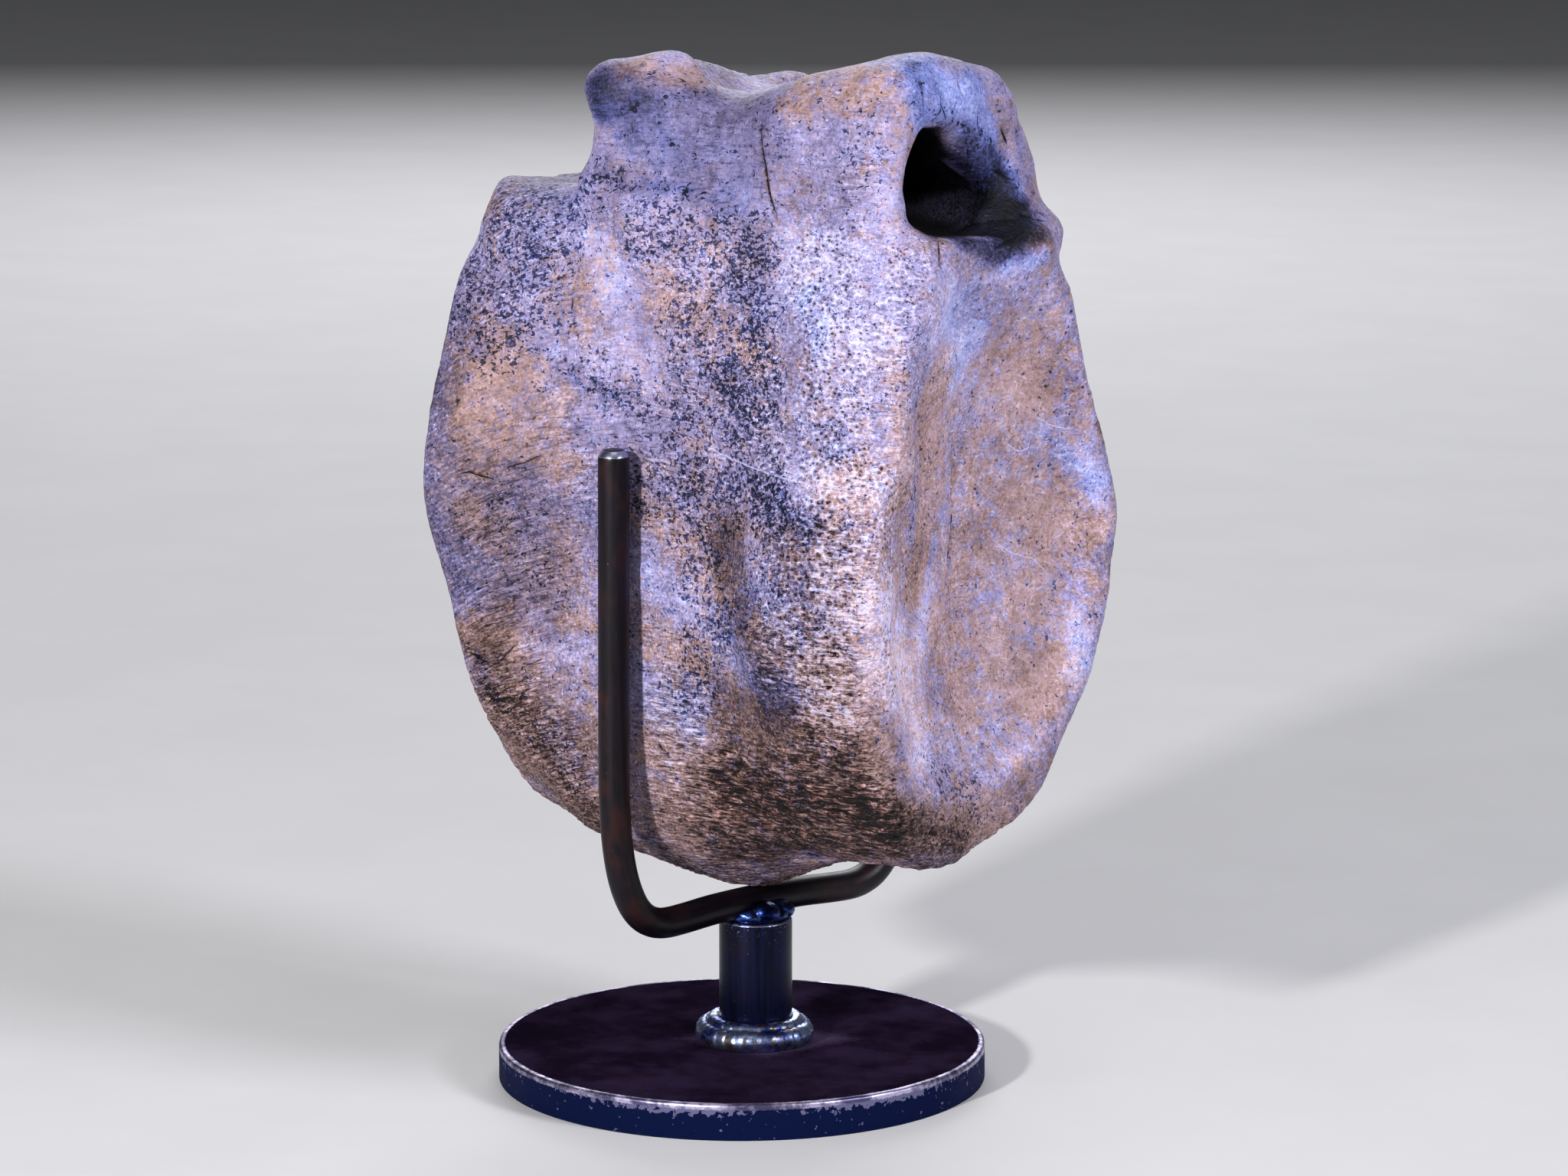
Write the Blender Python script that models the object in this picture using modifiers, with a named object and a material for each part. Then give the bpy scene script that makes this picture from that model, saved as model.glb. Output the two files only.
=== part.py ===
"""A fossil dinosaur vertebra resting in a bent steel rod, on a post welded to a round steel foot.

Metres, +Z up. The origin is the centre of the foot's underside, which stands on the floor.
+X runs along the vertebra's own axis, through its neural canal. -Y is the side with the front upright.
"""

import math

import bmesh
import bpy
from mathutils import Matrix, Vector

COLLECTION = "fossil_vertebra"

# Steel stock: a 5 in disc of 3/8 in plate, 3/4 in round bar and 5/16 in rod
DISC_DIAMETER = 0.127
DISC_THICKNESS = 0.0095
DISC_EDGE = 0.0006
POST_DIAMETER = 0.01905
POST_TOP = 0.0422
POST_EDGE = 0.0005
POST_AXIS = Vector((0.003, 0.002, 0.0))
ROD_DIAMETER = 0.00794
DISC_SIDES = 64
POST_SIDES = 32
GAP = 0.0003

# The rod is one U: level across the post, then up on both sides of the bone
ROD_HEADING = math.radians(256.4)
ROD_HEIGHT = 0.0469
ROD_TIP_HEIGHT = 0.1705
# One side of the U from the post out: distance from the post's axis, height
ROD_BEND = (
    (0.0140, 0.0466), (0.0240, 0.0459), (0.0305, 0.0457), (0.0350, 0.0466), (0.0388, 0.0489),
    (0.0420, 0.0530), (0.0447, 0.0595), (0.0464, 0.0675), (0.0473, 0.0770), (0.0476, 0.0900),
    (0.0474, 0.1300),
)
ROD_TIP_REACH = 0.0472
REAR_EXTRA_REACH = 0.0045
# How the rod's tips are eased: distance below the tip, share of the radius
ROD_TIP = ((0.0016, 1.0), (0.0006, 0.93), (0.0, 0.72))

# Welds. A profile runs from the outer edge in, or from the top out: share of the reach, share of the height
BASE_WELD_RADIUS = 0.0150
BASE_WELD_HEIGHT = 0.0062
BASE_WELD_RIPPLES = 11
STEPS_PER_RIPPLE = 4
RIPPLE_DEPTH = 0.10
BASE_WELD_PROFILE = (
    (1.00, 0.00), (0.99, 0.14), (0.85, 0.46), (0.55, 0.78), (0.25, 0.95), (0.05, 1.00), (0.00, 0.92),
    (0.00, 0.00),
)
TOP_WELD_RADIUS = 0.0098
TOP_WELD_HEIGHT = 0.0056
TOP_WELD_PROFILE = (
    (0.00, 1.00), (0.35, 0.98), (0.65, 0.84), (0.88, 0.55), (0.98, 0.22), (0.97, 0.00), (0.00, 0.00),
)
TOP_WELD_SIDES = 32
ROD_BED_LENGTH = 0.06

# The centrum, the vertebra's drum-shaped body. Its outlines are (y, z) points round its axis
CENTRUM_CENTRE = Vector((0.0067, 0.003, 0.148))
SPOKES = 72
CANAL_SIDES = 32
LEFT_RIM = (
    (0.006, 0.086), (-0.009, 0.083), (-0.022, 0.074), (-0.036, 0.057), (-0.0470, 0.032), (-0.0510, 0.006),
    (-0.045, -0.008), (-0.042, -0.024), (-0.039, -0.045), (-0.035, -0.056), (-0.027, -0.068),
    (-0.016, -0.078), (0.000, -0.083), (0.018, -0.077), (0.030, -0.062), (0.040, -0.040), (0.047, -0.014),
    (0.050, 0.008), (0.046, 0.032), (0.038, 0.055), (0.024, 0.075),
)
WAIST = (
    (0.000, 0.079), (-0.012, 0.078), (-0.029, 0.071), (-0.037, 0.055), (-0.0385, 0.030), (-0.0385, 0.000),
    (-0.0385, -0.030), (-0.0375, -0.060), (-0.032, -0.078), (-0.019, -0.088), (0.000, -0.0950),
    (0.019, -0.088), (0.032, -0.077), (0.039, -0.058), (0.0415, -0.025), (0.0420, 0.005), (0.041, 0.035),
    (0.037, 0.057), (0.026, 0.071),
)
RIGHT_RIM = (
    (0.000, 0.075), (-0.020, 0.080), (-0.038, 0.068), (-0.045, 0.030), (-0.054, -0.008), (-0.056, -0.027),
    (-0.052, -0.047), (-0.042, -0.068), (-0.024, -0.0785), (-0.002, -0.075), (0.017, -0.067),
    (0.027, -0.056), (0.039, -0.039), (0.046, -0.021), (0.050, -0.001), (0.045, 0.020), (0.036, 0.041),
    (0.031, 0.060), (0.020, 0.070),
)
LEFT_END = -0.0765
RIGHT_END = 0.0735
RIGHT_FACE_TURN = 0.05
ROUNDING_ALLOWANCE = 0.0013
LEFT_UNDERCUT = 0.14
# Stations along the drum: x, share of the left rim's outline, share of the right rim's
DRUM_STATIONS = (
    (-0.0700, 0.98, 0.00), (-0.0620, 0.80, 0.00), (-0.0500, 0.45, 0.00), (-0.0340, 0.15, 0.00),
    (-0.0120, 0.00, 0.00), (0.0060, 0.00, 0.10), (0.0200, 0.00, 0.38), (0.0340, 0.00, 0.75),
    (0.0480, 0.00, 0.98), (0.0620, 0.00, 1.02),
)
# The lip of each end: how far it stands back from the end, its share of the outline, and its rise
LIP = (
    (0.0040, 1.00, 0.0), (0.0010, 0.975, 0.0), (0.0, 0.93, 0.001), (0.0005, 0.88, 0.002),
    (0.0024, 0.83, 0.003),
)
LEFT_DISH_DEPTH = 0.012
RIGHT_DISH_DEPTH = 0.0155
DISH_RINGS = (0.76, 0.63, 0.48, 0.33, 0.17)
DISH_RISE = 0.002

# The neural arch on top: one section, and stations along it of x, height share and width share
ARCH_OUTLINE = (
    (-0.0370, 0.052), (-0.0380, 0.074), (-0.0355, 0.090), (-0.0350, 0.104), (-0.0330, 0.115),
    (-0.0260, 0.1215), (-0.0100, 0.123), (0.0060, 0.120), (0.0170, 0.1155), (0.0250, 0.108),
    (0.0310, 0.098), (0.0340, 0.087), (0.0370, 0.077), (0.0395, 0.062), (0.036, 0.050), (0.000, 0.040),
    (-0.034, 0.045),
)
ARCH_BASE = 0.050
ARCH_MIDDLE = -0.004
ARCH_STATIONS = (
    (-0.0355, 0.78, 0.72), (-0.0315, 0.88, 0.90), (-0.0240, 0.93, 0.97), (-0.0140, 0.905, 1.00),
    (0.0000, 0.840, 0.98), (0.0100, 0.835, 0.97), (0.0230, 0.895, 0.98), (0.0370, 0.965, 1.00),
    (0.0500, 1.00, 1.00), (0.0580, 0.99, 0.95), (0.0625, 0.93, 0.83),
)
# The neural canal through the arch: stations of x, half width and half height
CANAL_MIDDLE = Vector((0.0, -0.0060, 0.0962))
CANAL_FALL = 0.050
CANAL_STATIONS = (
    (-0.0950, 0.0190, 0.0150), (-0.0400, 0.0175, 0.0130), (-0.0150, 0.0160, 0.0125),
    (0.0250, 0.0165, 0.0130), (0.0520, 0.0190, 0.0145), (0.0950, 0.0250, 0.0180),
)
# Lumps and hollows: centre from the centrum's, and half sizes
LUMPS = {
    "near_knob": ((-0.0160, -0.0215, 0.1050), (0.0160, 0.0145, 0.0175)),
    "far_knob": ((-0.0080, 0.0210, 0.0985), (0.0150, 0.0135, 0.0150)),
    "far_ledge": ((0.0600, 0.0205, 0.0750), (0.0125, 0.0180, 0.0075)),
}
HOLLOWS = {
    "ventral_notch": ((0.0330, -0.0340, -0.0890), (0.0170, 0.0200, 0.0125)),
    "side_scoop": ((-0.0450, -0.0630, -0.0120), (0.0220, 0.0210, 0.0400)),
}

# How the bone is fused and weathered: voxel sizes, then cloud scales and how deep each goes
FIRST_VOXEL = 0.0024
SECOND_VOXEL = 0.0018
BROAD_CLOUDS = (0.028, 0.0032)
SMALL_CLOUDS = (0.010, 0.0009)
BONE_TRIANGLES = 6500

BONE_COLOUR = (0.42, 0.36, 0.38, 1.0)
STEEL_COLOUR = (0.10, 0.09, 0.12, 1.0)
WELD_COLOUR = (0.30, 0.31, 0.36, 1.0)


def clear_scene():
    """Removes every object, so that the script gives the same scene each time it runs."""
    for item in list(bpy.data.objects):
        bpy.data.objects.remove(item)


def collection(name):
    """A new collection linked to the scene."""
    made = bpy.data.collections.new(name)
    bpy.context.scene.collection.children.link(made)
    return made


def material(name, colour, roughness, metallic):
    """A Principled material of one colour."""
    made = bpy.data.materials.new(name)
    made.use_nodes = True
    shader = made.node_tree.nodes["Principled BSDF"]
    shader.inputs["Base Color"].default_value = colour
    shader.inputs["Roughness"].default_value = roughness
    shader.inputs["Metallic"].default_value = metallic
    return made


def place(name, data, group, finish=None):
    """An object for a mesh or curve, in its collection, with its material."""
    item = bpy.data.objects.new(name, data)
    group.objects.link(item)
    if finish is not None:
        data.materials.append(finish)
    return item


def as_cutter(item):
    """Marks an object as a tool that is never part of the model."""
    item.hide_render = True
    item.display_type = "WIRE"
    return item


def mesh_from(bm, name):
    """Writes a bmesh to a new mesh, with its faces pointing out."""
    bmesh.ops.recalc_face_normals(bm, faces=bm.faces)
    mesh = bpy.data.meshes.new(name)
    bm.to_mesh(mesh)
    bm.free()
    return mesh


def spoke_radii(outline):
    """The distance from the axis to a smooth curve through the outline's points, along each spoke."""
    polar = sorted((math.atan2(z, y) % math.tau, math.hypot(y, z)) for y, z in outline)
    count = len(polar)
    radii = []
    for spoke in range(SPOKES):
        angle = math.tau * spoke / SPOKES
        after = next((i for i, (a, _) in enumerate(polar) if a > angle), count)
        knots = []
        for step in (-2, -1, 0, 1):
            turn, index = divmod(after + step, count)
            knots.append((polar[index][0] + turn * math.tau, polar[index][1]))
        radii.append(hermite(knots, angle) + ROUNDING_ALLOWANCE)
    return radii


def hermite(knots, at):
    """A smooth value between the middle two of four (position, value) knots."""
    (x0, v0), (x1, v1), (x2, v2), (x3, v3) = knots
    span = x2 - x1
    share = (at - x1) / span
    slope_1 = (v2 - v0) / (x2 - x0) * span
    slope_2 = (v3 - v1) / (x3 - x1) * span
    square, cube = share * share, share**3
    return (
        (2 * cube - 3 * square + 1) * v1
        + (cube - 2 * square + share) * slope_1
        + (3 * square - 2 * cube) * v2
        + (cube - square) * slope_2
    )


def smooth_rows(rows, pieces):
    """Rows of numbers with smooth rows added between them, pieces to each gap."""
    padded = (rows[0],) + tuple(rows) + (rows[-1],)
    made = []
    for i in range(1, len(padded) - 2):
        for step in range(pieces):
            made.append(between(padded[i - 1 : i + 3], step / pieces))
    made.append(tuple(rows[-1]))
    return made


def between(four, share):
    """A row on the smooth curve between the middle two of four rows."""
    made = []
    for a, b, c, d in zip(*four):
        curve = (2 * a - 5 * b + 4 * c - d) * share**2 + (3 * b - a - 3 * c + d) * share**3
        made.append(b + 0.5 * ((c - a) * share + curve))
    return tuple(made)


def loft(name, rings, centre):
    """A closed skin over rings of points that all have the same count, with a fan at each end."""
    bm = bmesh.new()
    loops = [[bm.verts.new(centre + Vector(point)) for point in ring] for ring in rings]
    count = len(loops[0])
    for near, far in zip(loops, loops[1:]):
        for i in range(count):
            j = (i + 1) % count
            bm.faces.new((near[i], near[j], far[j], far[i]))
    for loop in (loops[0], loops[-1]):
        middle = sum((vert.co for vert in loop), Vector()) / count
        pole = bm.verts.new(middle)
        for i in range(count):
            bm.faces.new((loop[i], loop[(i + 1) % count], pole))
    return mesh_from(bm, name)


def centrum_mesh():
    """The drum: two dished ends with rounded lips, and sides that pull in to a waist."""
    left, waist, right = (spoke_radii(outline) for outline in (LEFT_RIM, WAIST, RIGHT_RIM))
    spokes = [(math.cos(math.tau * i / SPOKES), math.sin(math.tau * i / SPOKES)) for i in range(SPOKES)]

    def ring(radii, share, rise, x, undercut, turn):
        points = []
        for (cosine, sine), radius in zip(spokes, radii):
            y, z = cosine * radius * share, sine * radius * share + rise
            points.append((x + max(0.0, -z) * undercut + y * turn, y, z))
        return points

    def end_rings(radii, end, inward, depth, undercut, turn):
        made = [ring(radii, share, rise, end + inward * back, undercut, turn) for back, share, rise in LIP]
        back, outer, rise = LIP[-1]
        for share in DISH_RINGS:
            hollow = back + depth * (1 - (share / outer) ** 2)
            lift = rise + DISH_RISE * (1 - share / outer)
            made.append(ring(radii, share, lift, end + inward * hollow, undercut, turn))
        return made

    rings = end_rings(left, LEFT_END, 1, LEFT_DISH_DEPTH, LEFT_UNDERCUT, 0.0)[::-1]
    for x, to_left, to_right in smooth_rows(DRUM_STATIONS, 2):
        radii = [w + (l - w) * to_left + (r - w) * to_right for l, w, r in zip(left, waist, right)]
        rings.append(ring(radii, 1.0, 0.0, x, LEFT_UNDERCUT * to_left, RIGHT_FACE_TURN * to_right))
    rings += end_rings(right, RIGHT_END, -1, RIGHT_DISH_DEPTH, 0.0, RIGHT_FACE_TURN)
    return loft("centrum", rings, CENTRUM_CENTRE)


def arch_mesh():
    """The neural arch: a saddle-backed block that grows out of the top of the centrum."""
    outline = smooth_rows(ARCH_OUTLINE + ARCH_OUTLINE[:1], 2)[:-1]
    rings = []
    for x, height, width in smooth_rows(ARCH_STATIONS, 2):
        points = []
        for y, z in outline:
            across = ARCH_MIDDLE + (y - ARCH_MIDDLE) * width
            points.append((x + across * RIGHT_FACE_TURN, across, ARCH_BASE + (z - ARCH_BASE) * height))
        rings.append(points)
    return loft("arch", rings, CENTRUM_CENTRE)


def canal_mesh():
    """The neural canal's bore, a flattened tube that flares towards its mouths."""
    rings = []
    for x, half_width, half_height in smooth_rows(CANAL_STATIONS, 2):
        points = []
        for i in range(CANAL_SIDES):
            turn = math.tau * i / CANAL_SIDES
            points.append((x, half_width * math.cos(turn), half_height * math.sin(turn) - x * CANAL_FALL))
        rings.append(points)
    return loft("canal", rings, CENTRUM_CENTRE + CANAL_MIDDLE)


def ellipsoid(name, where, half_sizes):
    """A rounded lump or hollow, placed from the centrum's centre."""
    bm = bmesh.new()
    bmesh.ops.create_uvsphere(bm, u_segments=24, v_segments=16, radius=1.0)
    scale = Matrix.Diagonal((*half_sizes, 1.0))
    bm.transform(Matrix.Translation(CENTRUM_CENTRE + Vector(where)) @ scale)
    return mesh_from(bm, name)


def together(name, meshes):
    """One mesh that holds several closed skins, which a voxel remesh then fuses."""
    bm = bmesh.new()
    for mesh in meshes:
        bm.from_mesh(mesh)
        bpy.data.meshes.remove(mesh)
    return mesh_from(bm, name)


def cut(item, tool):
    """Takes a cutter's shape out of an object."""
    boolean = item.modifiers.new("cut", "BOOLEAN")
    boolean.operation = "DIFFERENCE"
    boolean.solver = "EXACT"
    boolean.object = tool


def remeshed(item, voxel, rounds):
    """Fuses and rounds an object, as wet clay is fused and stroked."""
    remesh = item.modifiers.new("fuse", "REMESH")
    remesh.mode = "VOXEL"
    remesh.voxel_size = voxel
    smooth = item.modifiers.new("stroke", "SMOOTH")
    smooth.factor = 0.5
    smooth.iterations = rounds


def weathered(item, name, scale, strength):
    """Soft unevenness of the surface, from a cloud texture."""
    clouds = bpy.data.textures.new(name, "CLOUDS")
    clouds.noise_scale = scale
    clouds.noise_depth = 1
    uneven = item.modifiers.new(name, "DISPLACE")
    uneven.texture = clouds
    uneven.texture_coords = "LOCAL"
    uneven.mid_level = 0.5
    uneven.strength = strength


def triangle_count(item):
    """How many triangles the object has after its modifiers."""
    seen = item.evaluated_get(bpy.context.evaluated_depsgraph_get())
    mesh = seen.to_mesh()
    mesh.calc_loop_triangles()
    count = len(mesh.loop_triangles)
    seen.to_mesh_clear()
    return count


def build_vertebra(group, tools, finish):
    """The fossil bone: centrum and neural arch grown together, with the canal through them."""
    lumps = [ellipsoid(name, *sizes) for name, sizes in LUMPS.items()]
    bone = place("vertebra", together("vertebra", [centrum_mesh(), arch_mesh()] + lumps), group, finish)
    remeshed(bone, FIRST_VOXEL, 5)
    hollows = [ellipsoid(name, *sizes) for name, sizes in HOLLOWS.items()]
    for mesh in [canal_mesh()] + hollows:
        cut(bone, as_cutter(place(mesh.name, mesh, tools)))
    remeshed(bone, SECOND_VOXEL, 4)
    weathered(bone, "broad_unevenness", *BROAD_CLOUDS)
    weathered(bone, "small_unevenness", *SMALL_CLOUDS)
    ratio = BONE_TRIANGLES / triangle_count(bone)
    bone.modifiers.new("fewer_faces", "DECIMATE").ratio = ratio
    return bone


def rod_side(heading, extra_reach):
    """Points of one side of the U, from the post's axis out, round the bend and up to the tip."""
    out = Vector((math.cos(heading), math.sin(heading), 0.0))
    bend = smooth_rows(((0.0, ROD_HEIGHT),) + ROD_BEND, 2)[1:]
    reach = ROD_BEND[-1][0]
    side = [(along * (1 + extra_reach / reach), height) for along, height in bend]
    for below, _ in ROD_TIP:
        side.append((ROD_TIP_REACH + extra_reach, ROD_TIP_HEIGHT - below))
    return [POST_AXIS + out * along + Vector((0, 0, height)) for along, height in side]


def build_rod(group, finish):
    """The cradle: one round bar, bent to a U, with eased tips."""
    front = rod_side(ROD_HEADING, 0.0)
    rear = rod_side(ROD_HEADING + math.pi, REAR_EXTRA_REACH)
    points = front[::-1] + [POST_AXIS + Vector((0, 0, ROD_HEIGHT))] + rear
    curve = bpy.data.curves.new("cradle_rod", "CURVE")
    curve.dimensions = "3D"
    curve.bevel_depth = ROD_DIAMETER / 2
    curve.bevel_resolution = 3
    curve.use_fill_caps = True
    spline = curve.splines.new("POLY")
    spline.points.add(len(points) - 1)
    easing = [share for _, share in reversed(ROD_TIP)]
    for i, point in enumerate(points):
        from_tip = min(i, len(points) - 1 - i)
        spline.points[i].co = (*point, 1.0)
        spline.points[i].radius = easing[from_tip] if from_tip < len(easing) else 1.0
    return place("cradle_rod", curve, group, finish)


def turned(name, profile, sides, group, finish):
    """A turned shape: a profile of (radius, height) from the top down, spun about Z."""
    bm = bmesh.new()
    verts = [bm.verts.new((radius, 0.0, height)) for radius, height in profile]
    for above, below in zip(verts, verts[1:]):
        bm.edges.new((above, below))
    mesh = bpy.data.meshes.new(name)
    bm.to_mesh(mesh)
    bm.free()
    item = place(name, mesh, group, finish)
    screw = item.modifiers.new("spin", "SCREW")
    screw.steps = sides
    screw.render_steps = sides
    screw.use_merge_vertices = True
    screw.merge_threshold = 0.00001
    return item


def bar(name, radius, bottom, top, edge, group, finish, sides):
    """A short round bar or disc with eased edges, standing on a given height."""
    bm = bmesh.new()
    bmesh.ops.create_cone(
        bm, cap_ends=True, segments=sides, radius1=radius, radius2=radius, depth=top - bottom
    )
    item = place(name, mesh_from(bm, name), group, finish)
    item.location = (0.0, 0.0, (top + bottom) / 2)
    bevel = item.modifiers.new("eased_edges", "BEVEL")
    bevel.width = edge
    bevel.segments = 2
    bevel.limit_method = "ANGLE"
    bevel.angle_limit = math.radians(60)
    return item


def build_foot(group, finish):
    """The disc that stands on the floor."""
    return bar(
        "base_disc", DISC_DIAMETER / 2, 0.0, DISC_THICKNESS, DISC_EDGE, group, finish, DISC_SIDES
    )


def build_post(group, finish):
    """The post, a length of round bar, a little off the disc's centre as it was welded."""
    post = bar(
        "post", POST_DIAMETER / 2, DISC_THICKNESS + GAP, POST_TOP, POST_EDGE, group, finish, POST_SIDES
    )
    post.location += POST_AXIS
    return post


def build_base_weld(group, finish):
    """The fillet of weld round the foot of the post, with its ripples."""
    inner = POST_DIAMETER / 2 + GAP
    reach = BASE_WELD_RADIUS - inner
    steps = BASE_WELD_RIPPLES * STEPS_PER_RIPPLE
    bm = bmesh.new()
    loops = []
    for i in range(steps):
        turn = math.tau * i / steps
        swell = 1.0 + RIPPLE_DEPTH * math.sin(BASE_WELD_RIPPLES * turn)
        loop = []
        for share, rise in BASE_WELD_PROFILE:
            radius = inner + reach * share * swell
            height = BASE_WELD_HEIGHT * rise * swell
            loop.append(bm.verts.new((radius * math.cos(turn), radius * math.sin(turn), height)))
        loops.append(loop)
    for near, far in zip(loops, loops[1:] + loops[:1]):
        for j in range(len(near)):
            k = (j + 1) % len(near)
            bm.faces.new((near[j], near[k], far[k], far[j]))
    item = place("base_weld", mesh_from(bm, "base_weld"), group, finish)
    item.location = POST_AXIS + Vector((0, 0, DISC_THICKNESS + GAP))
    return item


def build_top_weld(group, tools, finish):
    """The pool of weld on the post's top that the rod sits in."""
    profile = [(share * TOP_WELD_RADIUS, rise * TOP_WELD_HEIGHT) for share, rise in TOP_WELD_PROFILE]
    weld = turned("top_weld", profile, TOP_WELD_SIDES, group, finish)
    weld.location = POST_AXIS + Vector((0, 0, POST_TOP + GAP))
    radius = ROD_DIAMETER / 2 + GAP
    bm = bmesh.new()
    bmesh.ops.create_cone(
        bm, cap_ends=True, segments=24, radius1=radius, radius2=radius, depth=ROD_BED_LENGTH
    )
    bed = as_cutter(place("rod_bed", mesh_from(bm, "rod_bed"), tools))
    bed.rotation_euler = (0.0, math.radians(90), ROD_HEADING)
    bed.location = POST_AXIS + Vector((0, 0, ROD_HEIGHT))
    cut(weld, bed)
    return weld


def shade(item):
    """Rounds shade smooth, and edges over 30 degrees stay crisp."""
    if item.type == "MESH":
        item.data.shade_smooth()
        item.data.set_sharp_from_angle(angle=math.radians(30))


def main():
    """Builds every piece in its collection."""
    clear_scene()
    group = collection(COLLECTION)
    tools = collection("cutters")
    bone_finish = material("bone", BONE_COLOUR, 0.75, 0.0)
    steel_finish = material("steel", STEEL_COLOUR, 0.45, 0.9)
    weld_finish = material("weld", WELD_COLOUR, 0.3, 1.0)
    made = [
        build_foot(group, steel_finish),
        build_post(group, steel_finish),
        build_base_weld(group, weld_finish),
        build_top_weld(group, tools, weld_finish),
        build_rod(group, steel_finish),
        build_vertebra(group, tools, bone_finish),
    ]
    for item in made:
        shade(item)


main()
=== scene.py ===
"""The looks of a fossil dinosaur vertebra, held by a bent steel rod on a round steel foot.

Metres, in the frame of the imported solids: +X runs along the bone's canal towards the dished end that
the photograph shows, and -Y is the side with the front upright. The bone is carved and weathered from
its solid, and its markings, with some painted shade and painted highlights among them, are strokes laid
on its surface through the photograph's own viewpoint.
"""

import logging
import math
from collections.abc import Sequence
from dataclasses import dataclass
from enum import Enum
from functools import reduce
from itertools import product

import bpy
import numpy as np
from mathutils import Matrix, Vector
from mathutils.bvhtree import BVHTree


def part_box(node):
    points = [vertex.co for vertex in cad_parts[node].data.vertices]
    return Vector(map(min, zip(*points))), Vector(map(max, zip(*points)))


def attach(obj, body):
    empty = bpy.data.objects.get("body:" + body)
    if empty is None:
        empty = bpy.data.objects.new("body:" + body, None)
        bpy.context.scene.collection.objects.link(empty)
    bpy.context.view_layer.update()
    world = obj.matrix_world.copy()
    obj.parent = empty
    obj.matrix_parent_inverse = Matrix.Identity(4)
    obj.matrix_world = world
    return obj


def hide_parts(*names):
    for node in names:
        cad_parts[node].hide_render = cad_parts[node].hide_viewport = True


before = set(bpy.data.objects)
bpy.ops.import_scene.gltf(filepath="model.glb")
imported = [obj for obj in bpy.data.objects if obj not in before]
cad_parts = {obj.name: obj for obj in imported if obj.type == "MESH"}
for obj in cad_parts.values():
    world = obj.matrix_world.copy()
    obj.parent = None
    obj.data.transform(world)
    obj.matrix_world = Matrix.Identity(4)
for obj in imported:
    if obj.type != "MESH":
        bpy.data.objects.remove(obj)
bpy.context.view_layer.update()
POST_LOW, POST_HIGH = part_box("post")
POST_MIDDLE = (POST_LOW + POST_HIGH) / 2

LOG = logging.getLogger("vertebra")
MM = 0.001
BODY = "root"
# A distance over any in the part, in millimetres
FAR = 1e9

Array = np.ndarray
Item = bpy.types.Object
Colour = tuple[float, float, float]
Pixel = tuple[float, float]
Socket = bpy.types.NodeSocket
# A length in millimetres, or one for each axis
Size = float | Sequence[float]


class Slot(Enum):
    """The material slots of the pieces."""

    BONE = "bone"
    STEEL = "steel"
    ROD = "rod"
    WELD = "weld"


class Mark(Enum):
    """What a brush stroke lays on the bone. Each is a number from 0 to 1 at every vertex."""

    OCHRE = "ochre"
    PINK = "pink"
    PALE = "pale"
    SKY = "sky"
    NAVY = "navy"
    GREY = "grey"
    BROWN = "brown"
    RUST = "rust"
    # Painted shade
    PAINTED_SHADE = "soot"
    FLECKS = "flecks"
    PORES = "pores"
    RIDGES = "ridges"
    SMOOTH = "smooth"


@dataclass(frozen=True)
class ViewPoint:
    """Where the photograph was taken from, in the part's frame."""

    azimuth: float = 35.0
    pitch: float = 10.6
    lens: float = 130.0
    sensor: float = 36.0
    width: int = 2048
    height: int = 1536
    distance: float = 1.481
    aim: Vector = Vector((0.0, 0.0, 0.0095))
    shift_right: float = 0.0110
    shift_up: float = 0.1178

    @property
    def focal(self) -> float:
        """The focal length in pixels."""
        return self.lens / self.sensor * self.width

    def axes(self) -> tuple[Vector, Vector, Vector]:
        """The camera's directions.

        Returns:
            Its right, up and forward directions.
        """
        turn, tilt = math.radians(self.azimuth), math.radians(self.pitch)
        away = Vector((math.sin(turn), -math.cos(turn), 0.0))
        rise = Vector((0.0, 0.0, 1.0))
        right = Vector((math.cos(turn), math.sin(turn), 0.0))
        up = rise * math.cos(tilt) - away * math.sin(tilt)
        forward = -away * math.cos(tilt) - rise * math.sin(tilt)
        return right, up, forward

    def place(self) -> Vector:
        """The camera's place."""
        right, up, forward = self.axes()
        return self.aim - forward * self.distance + right * self.shift_right + up * self.shift_up

    def ray(self, pixel: Pixel) -> Vector:
        """The direction that a pixel looks in.

        Args:
            pixel: Its place in the photograph, from the top left.

        Returns:
            The direction, of length 1.
        """
        right, up, forward = self.axes()
        across = (pixel[0] - self.width / 2) / self.focal
        down = (pixel[1] - self.height / 2) / self.focal
        return (forward + right * across - up * down).normalized()

    def build(self) -> Item:
        """Makes the camera and gives it to the scene.

        Returns:
            The camera.
        """
        right, up, forward = self.axes()
        data = bpy.data.cameras.new("camera")
        data.lens = self.lens
        data.sensor_width = self.sensor
        data.clip_start = 0.05
        camera = bpy.data.objects.new("camera", data)
        bpy.context.scene.collection.objects.link(camera)
        turn = Matrix((right, up, -forward)).transposed().to_4x4()
        camera.matrix_world = Matrix.Translation(self.place()) @ turn
        bpy.context.scene.camera = camera
        return camera


def even_directions(count: int) -> Array:
    """Directions spread evenly over a sphere.

    Args:
        count: How many.

    Returns:
        One direction a row.
    """
    turn = math.pi * (3 - math.sqrt(5)) * np.arange(count)
    height = 1 - 2 * (np.arange(count) + 0.5) / count
    flat = np.sqrt(1 - height**2)
    return np.stack([flat * np.cos(turn), flat * np.sin(turn), height], 1).astype(np.float32)


SLOPES = even_directions(256)


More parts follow.
